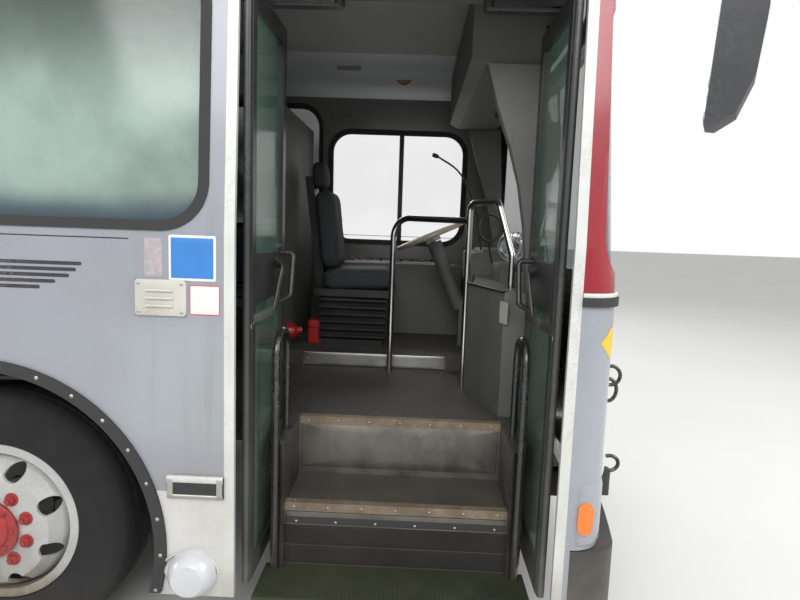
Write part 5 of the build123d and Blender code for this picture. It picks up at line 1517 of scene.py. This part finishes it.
@dataclass
class Seats(Part):
    """Driver's seat and the saloon's cushions."""

    steps = ("driver", "saloon")
    pads: Pads = field(default_factory=Pads)
    saloon_pads: Pads = field(default_factory=lambda: Pads(voxel=0.0185))
    driver_x: float = rel(0.95)
    driver_y: float = 0.66
    pitch: float = 0.82
    seat_l: float = 0.43
    seat_z: float = 1.25
    side_out: float = 1.205
    side_in: float = 0.36
    back_tip: float = 79.6
    bench_z: float = 1.172
    bench_back_z: float = 1.385

    def driver(self) -> None:
        """Cushion, backrest and headrest."""
        x, y = self.driver_x, self.driver_y
        cushion = self.pads.swell("work_cushion", (0.47, 0.50, 0.120), 0.07, 0.014)
        back = self.pads.swell("work_back", (0.52, 0.47, 0.105), 0.08, 0.014)
        head = self.pads.swell("work_head", (0.17, 0.27, 0.085), 0.07, 0.010)
        shape = Shape()
        shape.add(self.pads.placed(cushion, (x + 0.235, y, 1.335), -2.0, (-0.15, 0.15)))
        shape.add(self.pads.placed(back, (x + 0.035, y, 1.645), 83.0, (-0.14, 0.14), 0.008))
        shape.add(self.pads.placed(head, (x - 0.035, y - 0.01, 1.99), 84.0))
        obj = shape.build("driver_seat_cushions", [F.DRIVER_CLOTH], "bus", "seat_fabric", 60)
        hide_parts("driver_seat_pads")

    def saloon(self) -> None:
        """Cushions of the double seats, the wheel housing benches and the rear bench."""
        low = self.saloon_pads.swell("work_low", (0.358, 0.80, 0.048), 0.05, 0.008)
        back = self.saloon_pads.swell("work_saloon_back", (0.42, 0.80, 0.044), 0.06, 0.008)
        put = self.saloon_pads.placed
        shape = Shape()
        for side in (1, -1):
            places = []
            x = rel(-1.15)
            while x - self.seat_l > AXLE_R + 0.72:
                if side > 0 or x < PORTALS["exit"][0] - 0.22 or x - self.seat_l - 0.12 > PORTALS["exit"][1] + 0.16:
                    places.append(x)
                x -= self.pitch
            places.append(REAR_BENCH_X)
            middle = side * (self.side_in + self.side_out) / 2
            for x in places:
                shape.add(put(low, (x - 0.188, middle, self.seat_z + 0.026), 0.0, (0.0,)))
                at = (x - self.seat_l - 0.014, middle, self.seat_z + 0.262)
                shape.add(put(back, at, self.back_tip, (0.0,)))
            flat = (np.stack([low[0][:, 1] * 0.66, low[0][:, 0] * 0.93, low[0][:, 2]], -1), low[1])
            up = (np.stack([back[0][:, 1] * 0.66, -side * back[0][:, 2], back[0][:, 0] * 0.84], -1), back[1])
            for axle, half in ((AXLE_F, 0.56), (AXLE_R, 0.52)):
                for x in (axle - half / 2, axle + half / 2):
                    shape.add(put(flat, (x, side * (self.side_out - 0.265), self.bench_z)))
                    shape.add(put(up, (x, side * (self.side_out - 0.058), self.bench_back_z)))
        obj = shape.build("saloon_cushions", [F.SEAT_CLOTH], "bus", "seat_fabric", 60)
        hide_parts("seat_pads")


# ---- Nose, tail and roof ----

@dataclass
class Nose(Part):
    """Headlamps, wipers, mirror glasses, the sign's display, plates, corner panels and rack hooks."""

    steps = ("lamps", "wipers", "sign", "mirrors", "plates", "corner_panels", "rack_hooks")
    lamp_ys: tuple[float, float] = (0.78, 0.96)
    lamp_z: float = 0.76
    lamp_set: float = 0.05
    flute_r: float = 0.074
    flute_pitch: float = 0.015
    wiper_foot: tuple[float, float] = (0.45, 1.462)
    wiper_tip: tuple[float, float] = (0.62, 2.06)
    sign_half: float = 0.86
    sign_low: float = 2.53
    sign_high: float = 2.75
    head_x: float = 6.2067
    head_y: float = 1.375
    head_foot: float = 2.024
    head_lean: float = 0.0546
    diamond_at: tuple[float, float] = (0.115, 1.300)
    diamond_half: float = 0.030
    panel_run: tuple[float, float] = (0.012, 0.30)
    panel_rows: tuple[tuple[float, float], ...] = ((0.560, 0.0006), (0.566, 0.006), (0.765, 0.006), (0.792, 0.0006))

    def bow(self, y: np.ndarray | float) -> np.ndarray:
        """X of the bowed nose at a distance y from the middle."""
        y_c = HALF_W - CORNER_R
        r = ((NOSE_X - CORNER_X) ** 2 + y_c ** 2 - CORNER_R ** 2) / (2 * (NOSE_X - CORNER_X - CORNER_R))
        return NOSE_X - (r - np.sqrt(r ** 2 - np.asarray(y) ** 2))

    def lamps(self) -> None:
        """Headlamp bowls and their fluted lenses."""
        shape = Shape()
        bowl = [(0.086, 0.0), (0.090, 0.035), (0.085, 0.042), (0.080, 0.036), (0.079, 0.03)]
        lens = [(0.080, 0.028), (0.06, 0.036), (0.03, 0.041), (0, 0.042)]
        for s in (1, -1):
            for y in self.lamp_ys:
                at = np.array([float(self.bow(y)) - self.lamp_set, s * y, self.lamp_z])
                shape.add(lathe(bowl, at, RIGHT, 40))
                shape.add(lathe(lens, at, RIGHT, 40), 1)
                for k in range(-4, 5):
                    rise = k * self.flute_pitch
                    half = (0, math.sqrt(self.flute_r ** 2 - rise ** 2), 0)
                    middle = at + (0.040 - abs(k) * 0.0012, 0, rise)
                    shape.add(bar(middle - half, middle + half, disc_profile(0.0016, 6)), 1)
        shape.build("headlamp_units", [F.CHROME, F.CLEAR_LENS], "bus", "lamp_plastic")

    def wipers(self) -> None:
        """Two arms from under the screen, each with a blade of rubber."""
        shape = Shape()
        spindle = [(0.028, 0), (0.028, 0.02), (0.02, 0.028), (0, 0.03)]
        (foot_y, foot_z), (tip_y, tip_z) = self.wiper_foot, self.wiper_tip
        for s in (1, -1):
            foot = np.array([float(self.bow(foot_y)) + 0.007, s * foot_y, foot_z])
            tip = np.array([float(self.bow(tip_y)) - 0.055, s * tip_y, tip_z])
            shape.add(lathe(spindle, foot - (0.012, 0, 0), (1, 0, 0.1), 20))
            arm = np.stack([foot + (0.02, 0, 0), foot * 0.6 + tip * 0.4 + (0.028, 0, 0), tip + (0.016, 0, 0)])
            shape.add(sweep(rounded(0.014, 0.008, 0.003, 3), arm, RIGHT))
            z = np.linspace(1.60, 2.36, 12)
            y = s * (0.60 + 0.02 * (z - 1.6))
            blade = np.stack([self.bow(y) - (z - BELT_Z) * RAKE + 0.006, y, z], -1)
            shape.add(sweep(rounded(0.012, 0.010, 0.003, 3), blade, RIGHT), 1)
        shape.build("wipers", [F.BLACK, F.RUBBER], "bus", "dark_plastic")

    def sign(self) -> None:
        """Blank display behind the sign window, following the bow."""
        y, z = np.meshgrid(np.linspace(-self.sign_half, self.sign_half, 25),
                           np.linspace(self.sign_low, self.sign_high, 4), indexing="ij")
        x = self.bow(y) - 0.075 - (z - BELT_Z) * RAKE - np.maximum(0, z - 2.62) * 0.25
        front = np.stack([x, y, z], -1)
        shape = Shape()
        shape.add(grid(front))
        shape.add(grid((front - (0.02, 0, 0))[:, ::-1]))
        shape.build("sign_display", [F.DISPLAY], "bus", "dark_plastic")

    def mirrors(self) -> None:
        """Flat and wide-angle glass set in the turned back face of each mirror head."""
        shape = Shape()
        for side, turn in ((1, 13.0), (-1, -27.0)):
            a = math.radians(turn)
            out = np.array([-math.cos(a), -math.sin(a), 0.0])
            wide = (-out[1], out[0], 0)
            tall = np.array(UP) - out * self.head_lean
            for z, size, crown in ((2.31, (0.118, 0.34, 0.005), 0.0), (2.08, (0.112, 0.09, 0.005), 0.004)):
                lean = out * (0.0725 - (z - self.head_foot) * self.head_lean)
                at = np.array([self.head_x, side * self.head_y, z]) + lean
                shape.add(plate(at, wide, tall, size, 0.03, 0.002, crown))
        shape.build("mirror_glasses", [F.MIRROR], "bus", "mirror_plastic")

    def plates(self) -> None:
        """Blank number plate on the bumper and the yellow diamond on the corner."""
        shape = Shape()
        shape.add(plate((6.1335, 0, 0.425), (0, 1, 0), UP, (0.31, 0.155, 0.003), 0.01, 0.001))
        start, z = self.diamond_at
        s, r = np.meshgrid(np.linspace(-1, 1, 9), np.linspace(-1, 1, 9), indexing="ij")
        points = along(nose_line(z, 0.0008, steps=2400), start + (s + r) * self.diamond_half)
        points[..., 2] = z + (s - r) * self.diamond_half
        shape.add(grid(points[::-1]), 1)
        shape.build("nose_plates", [F.WHITE, F.YELLOW], "bus", "bumper_black")

    def corner_panels(self) -> None:
        """Raised lower panel round each corner: the nose's line pushed out, with a slanted top edge."""
        shape = Shape()
        n = 40
        on = np.linspace(*self.panel_run, n)
        ends = np.minimum(1.0, np.minimum(np.arange(n), np.arange(n - 1, -1, -1)) / 2.0)[:, None]
        rows = []
        for z, proud in self.panel_rows:
            skin, face = (along(nose_line(z, out, steps=1200), on) for out in (self.panel_rows[0][1], proud))
            rows.append(skin + (face - skin) * ends)
        panel = np.stack(rows, 1)
        shape.add(grid(panel))
        shape.add(grid((panel * (1, -1, 1))[::-1]))
        shape.build("corner_panels", [F.NOSE], "bus", "silver_paint")

    def rack_hooks(self) -> None:
        """Open hooks on the folded rack's side tubes, and a hook and casting for each on the bumper."""
        a = np.linspace(-0.62 * np.pi, 0.62 * np.pi, 22)
        hooks, fixed = Shape(), Shape()
        places = ((6.112, 1.062, 0.040, 0.042, 0.74, hooks), (6.104, 0.997, 0.036, 0.050, 0.74, hooks),
                  (6.112, 0.685, 0.040, 0.034, 0.80, fixed))
        for s in (1, -1):
            for x, z, wide, tall, y, shape in places:
                ring = np.stack([x + wide * np.cos(a), np.full(len(a), s * y), z + tall * np.sin(a)], -1)
                shape.add(sweep(disc_profile(0.0085, 10), ring, (0, 1, 0)))
            fixed.add(box_between((6.030, s * 0.80 - 0.02, 0.545), (6.118, s * 0.80 + 0.02, 0.665), 0.006, 0.012), 1)
        hooks.build("rack_hooks", [F.TUBE_BLACK], "bike_rack", "black_tube")
        fixed.build("rack_castings", [F.TUBE_BLACK, F.BLACK], "bus", "black_tube")


@dataclass
class Tail(Part):
    """Tail lamps, engine door fittings and a blank plate."""

    steps = ("lamps", "door")
    lamp_y: float = 1.03
    lamp_zs: tuple[float, ...] = (0.82, 0.98, 1.14)
    marker_ys: tuple[float, ...] = (-0.12, 0.0, 0.12)
    louvres: int = 6
    louvre_z: float = 0.926
    louvre_pitch: float = 0.06
    louvre_half: float = 0.62

    def lamps(self) -> None:
        """Lamp rims and lenses, reflectors and marker lamps on the rear cap."""
        back, left = (-1, 0, 0), (0, -1, 0)
        rim = [(0.070, 0.010), (0.070, 0.0), (0.066, -0.016), (0.060, -0.016), (0.060, 0.0)]
        lens = [(0.060, 0.0), (0.055, 0.018), (0.03, 0.024), (0, 0.026)]
        shape = Shape()
        for s in (1, -1):
            for z, mark in zip(self.lamp_zs, (1, 2, 1)):
                at = (TAIL_X - 0.012, s * self.lamp_y, z)
                shape.add(lathe(rim, at, RIGHT, 36))
                shape.add(lathe(lens, at, back, 36), mark)
            shape.add(plate((TAIL_X, s * 1.0, 0.66), left, UP, (0.10, 0.05, 0.012), 0.01, 0.004), 1)
        for y in self.marker_ys:
            shape.add(plate((TAIL_X, y, 2.62), left, UP, (0.09, 0.035, 0.014), 0.012, 0.005), 1)
        shape.build("tail_lamps", [F.BLACK, F.RED_LENS, F.AMBER], "bus", "lamp_plastic")

    def door(self) -> None:
        """Blank plate, latches and louvres on the engine door."""
        back, x = (-1, 0, 0), TAIL_X - 0.001
        latch = [(0.025, 0), (0.025, 0.008), (0.018, 0.012), (0, 0.012)]
        door = Shape()
        door.add(plate((TAIL_X, 0.0, 0.70), (0, -1, 0), UP, (0.32, 0.17, 0.006), 0.01, 0.002), 1)
        for y in (-0.6, 0.6):
            door.add(lathe(latch, (TAIL_X, y, 0.60), back, 24))
        a = np.linspace(0, np.pi, 7)
        lip = np.stack([np.cos(a) * 0.006, np.sin(a) * 0.010], -1)
        for z in self.louvre_z + np.arange(self.louvres) * self.louvre_pitch:
            door.add(bar((x, -self.louvre_half, z), (x, self.louvre_half, z), lip, back), 2)
        door.build("engine_door_fittings", [F.STEEL, F.WHITE, F.SIDE], "engine_door", "silver_paint")


@dataclass
class RoofDress(Part):
    """Raised joints across the roof."""

    steps = ("joints",)
    pitch: float = 1.35
    first_x: float = -5.2
    half: float = 1.0
    hatch_xs: tuple[float, float] = (2.7825, -2.7045)
    clear: float = 0.42

    def joints(self) -> None:
        """Flat strips that follow the roof's arc, z = top - (R - sqrt(R^2 - y^2)), left out at the hatches."""
        shape = Shape()
        r = (ROOF_HALF ** 2 + ROOF_RISE ** 2) / (2 * ROOF_RISE)
        y = np.linspace(-self.half, self.half, 31)
        z = ROOF_TOP - (r - np.sqrt(r ** 2 - y ** 2)) - 0.0005
        for x in np.arange(self.first_x, 5.4, self.pitch):
            if min(abs(x - hatch) for hatch in self.hatch_xs) < self.clear:
                continue
            path = np.stack([np.full_like(y, x), y, z], -1)
            shape.add(sweep(rounded(0.045, 0.006, 0.002, 3), path, UP))
        shape.build("roof_joints", [F.ROOF], "bus", "roof_paint")


# ---- Inside lining ----

@dataclass
class Saloon(Part):
    """Ceiling, light strips and the driver's window bar."""

    steps = ("ceiling", "window_bar")
    ceiling_z: float = 2.835
    ceiling_half: float = 1.02
    light_y: float = 0.72
    light_z: float = 2.80
    bar_x: float = rel(1.42)
    bar_low: float = 1.575
    bar_high: float = 2.36

    def ceiling(self) -> None:
        """Sheet below the roof, z falling as |y|^2.2, and two light strips."""
        shape = Shape()
        x, y = np.meshgrid(np.linspace(TAIL_X + 0.5, 5.55, 12),
                           np.linspace(-self.ceiling_half, self.ceiling_half, 21), indexing="ij")
        sheet = np.stack([x, y, self.ceiling_z - 0.05 * np.abs(y) ** 2.2], -1)
        shape.add(grid(sheet))
        shape.add(grid((sheet + (0, 0, 0.008))[:, ::-1]))
        a = np.linspace(0, np.pi, 9)
        tube = np.stack([np.cos(a) * 0.07, -np.sin(a) * 0.035], -1)
        for y in (self.light_y, -self.light_y):
            shape.add(bar((TAIL_X + 1.0, y, self.light_z), (4.3, y, self.light_z), tube), 1)
        shape.build("ceiling_and_lights", [F.CEILING, F.LINING], "bus", "dark_plastic")

    def window_bar(self) -> None:
        """Upright in the driver's window, leaning with the glass."""
        middle = (self.bar_low + self.bar_high) / 2
        foot = (self.bar_x, HALF_W - 0.030 - (middle - SILL_Z) * LEAN, middle)
        size = (0.034, self.bar_high - self.bar_low, 0.022)
        shape = Shape().add(plate(foot, RIGHT, (0, -LEAN, 1), size, 0.004, 0.003))
        shape.build("driver_window_bar", [F.BLACK], "bus", "black_rubber")


# ---- Studio ----

@dataclass
class Studio:
    """Floor, lamps, world and the camera at the photograph's viewing angle."""

    lens_px: float = 601.0
    place: tuple[float, float, float] = (5.2305, -3.348, 1.676)
    yaw: float = -1.27
    pitch: float = 6.9
    roll: float = 2.03
    picture_w: float = 800.0
    sensor_mm: float = 36.0
    floor_half: float = 60.0
    lamps: tuple[tuple, ...] = (
        ("side_soft", (4.0, -9.0, 6.5), (2.5, 0, 1.2), (9.0, 4.0), 700),
        ("front_soft", (12.5, -3.0, 6.0), (4.5, 0, 1.5), (5.0, 5.0), 400),
        ("far_soft", (0.0, 9.5, 6.5), (0, 0, 1.5), (12.0, 4.0), 750),
        ("tail_soft", (-12.5, -2.0, 6.0), (-5.0, 0, 1.5), (5.0, 5.0), 380),
    )

    def camera(self) -> None:
        """A pinhole of 601 px at 800 px width, turned by yaw, pitch and roll."""
        yaw, pitch, roll = (math.radians(v) for v in (self.yaw, self.pitch, self.roll))
        ahead = np.array([math.sin(yaw) * math.cos(pitch), math.cos(yaw) * math.cos(pitch), -math.sin(pitch)])
        right0 = np.array([math.cos(yaw), -math.sin(yaw), 0.0])
        up0 = np.cross(right0, ahead)
        right = right0 * math.cos(roll) + up0 * math.sin(roll)
        up = -right0 * math.sin(roll) + up0 * math.cos(roll)
        data = bpy.data.cameras.new("photo_camera")
        data.sensor_width = self.sensor_mm
        data.lens = self.sensor_mm * self.lens_px / self.picture_w
        obj = linked("photo_camera", data)
        matrix = np.eye(4)
        matrix[:3, 0], matrix[:3, 1], matrix[:3, 2], matrix[:3, 3] = right, up, -ahead, self.place
        obj.matrix_world = Matrix(matrix.tolist())
        bpy.context.scene.camera = obj

    def floor(self) -> None:
        """A wide pale floor with a faint mottle."""
        mesh = bpy.data.meshes.new("studio_floor")
        s = self.floor_half
        mesh.from_pydata([(-s, -s, 0), (s, -s, 0), (s, s, 0), (-s, s, 0)], [], [(0, 1, 2, 3)])
        obj = linked("studio_floor", mesh)
        made = bpy.data.materials.new("pale_floor")
        made.use_nodes = True
        t = Tree(made.node_tree)
        shader = made.node_tree.nodes["Principled BSDF"]
        tone = t.noise(t.place(), 0.6, 3.0)
        t.put(t.mix(tone, (0.70, 0.70, 0.69), (0.76, 0.76, 0.75)), shader.inputs["Base Color"])
        t.put(0.9, shader.inputs["Roughness"])
        mesh.materials.append(made)

    def world(self) -> None:
        """White to the camera, to gloss and through glass; a plain level for lighting."""
        world = bpy.data.worlds.new("studio_world")
        bpy.context.scene.world = world
        world.use_nodes = True
        world.node_tree.nodes.clear()
        t = Tree(world.node_tree)
        path = t.add("LightPath").outputs
        seen = t.math("MAXIMUM", path["Is Camera Ray"],
                      t.math("MAXIMUM", path["Is Glossy Ray"], path["Is Transmission Ray"]))
        strength = t.plus(t.times(seen, 0.38), 0.62)
        back = t.add("Background", {"Color": (1.0, 1.0, 1.0), "Strength": strength})
        out = t.add("OutputWorld")
        t.put(back.outputs[0], out.inputs[0])

    def lamp(self, name: str, place: Sequence, aim: Sequence, size: tuple[float, float], watts: float) -> None:
        """A soft area lamp aimed at a point."""
        data = bpy.data.lights.new(name, "AREA")
        data.shape = "RECTANGLE"
        data.size, data.size_y = size
        data.energy = watts
        obj = linked(name, data)
        ahead = np.asarray(aim, float) - np.asarray(place, float)
        obj.matrix_world = Matrix.Translation(place) @ track(ahead)

    def build(self) -> None:
        """Set the studio up."""
        self.camera()
        self.floor()
        self.world()
        for name, place, aim, size, watts in self.lamps:
            self.lamp(name, place, aim, size, watts)
        bpy.context.scene.view_settings.view_transform = "Standard"


def track(ahead: np.ndarray) -> Matrix:
    """A rotation whose -Z looks along a direction."""
    z = -unit(ahead)
    x = unit(np.cross(UP, z))
    y = np.cross(z, x)
    m = np.eye(4)
    m[:3, 0], m[:3, 1], m[:3, 2] = x, y, z
    return Matrix(m.tolist())


def dress_nodes(objects: dict) -> None:
    """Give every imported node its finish.

    Args:
        objects: the frame's nodes by name.
    """
    finishes = {node: finish for finish, nodes in NODES_BY_FINISH.items() for node in nodes.split()}
    for node, obj in objects.items():
        finishes[node].value.wear_on(obj)


def main() -> None:
    """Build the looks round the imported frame."""
    logging.basicConfig(level=logging.INFO, format="%(name)s: %(message)s")
    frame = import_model()
    Studio().build()
    dress_nodes(frame["nodes"])
    for end in ("front", "rear"):
        for name, side in (("left", 1), ("right", -1)):
            RoadWheel(end, name, side).build()
    for part in (SideDress(), Entrance(), DriverPlace(), Seats(), Nose(), Tail(), RoofDress(), Saloon()):
        part.build()


if __name__ == "__main__":
    main()
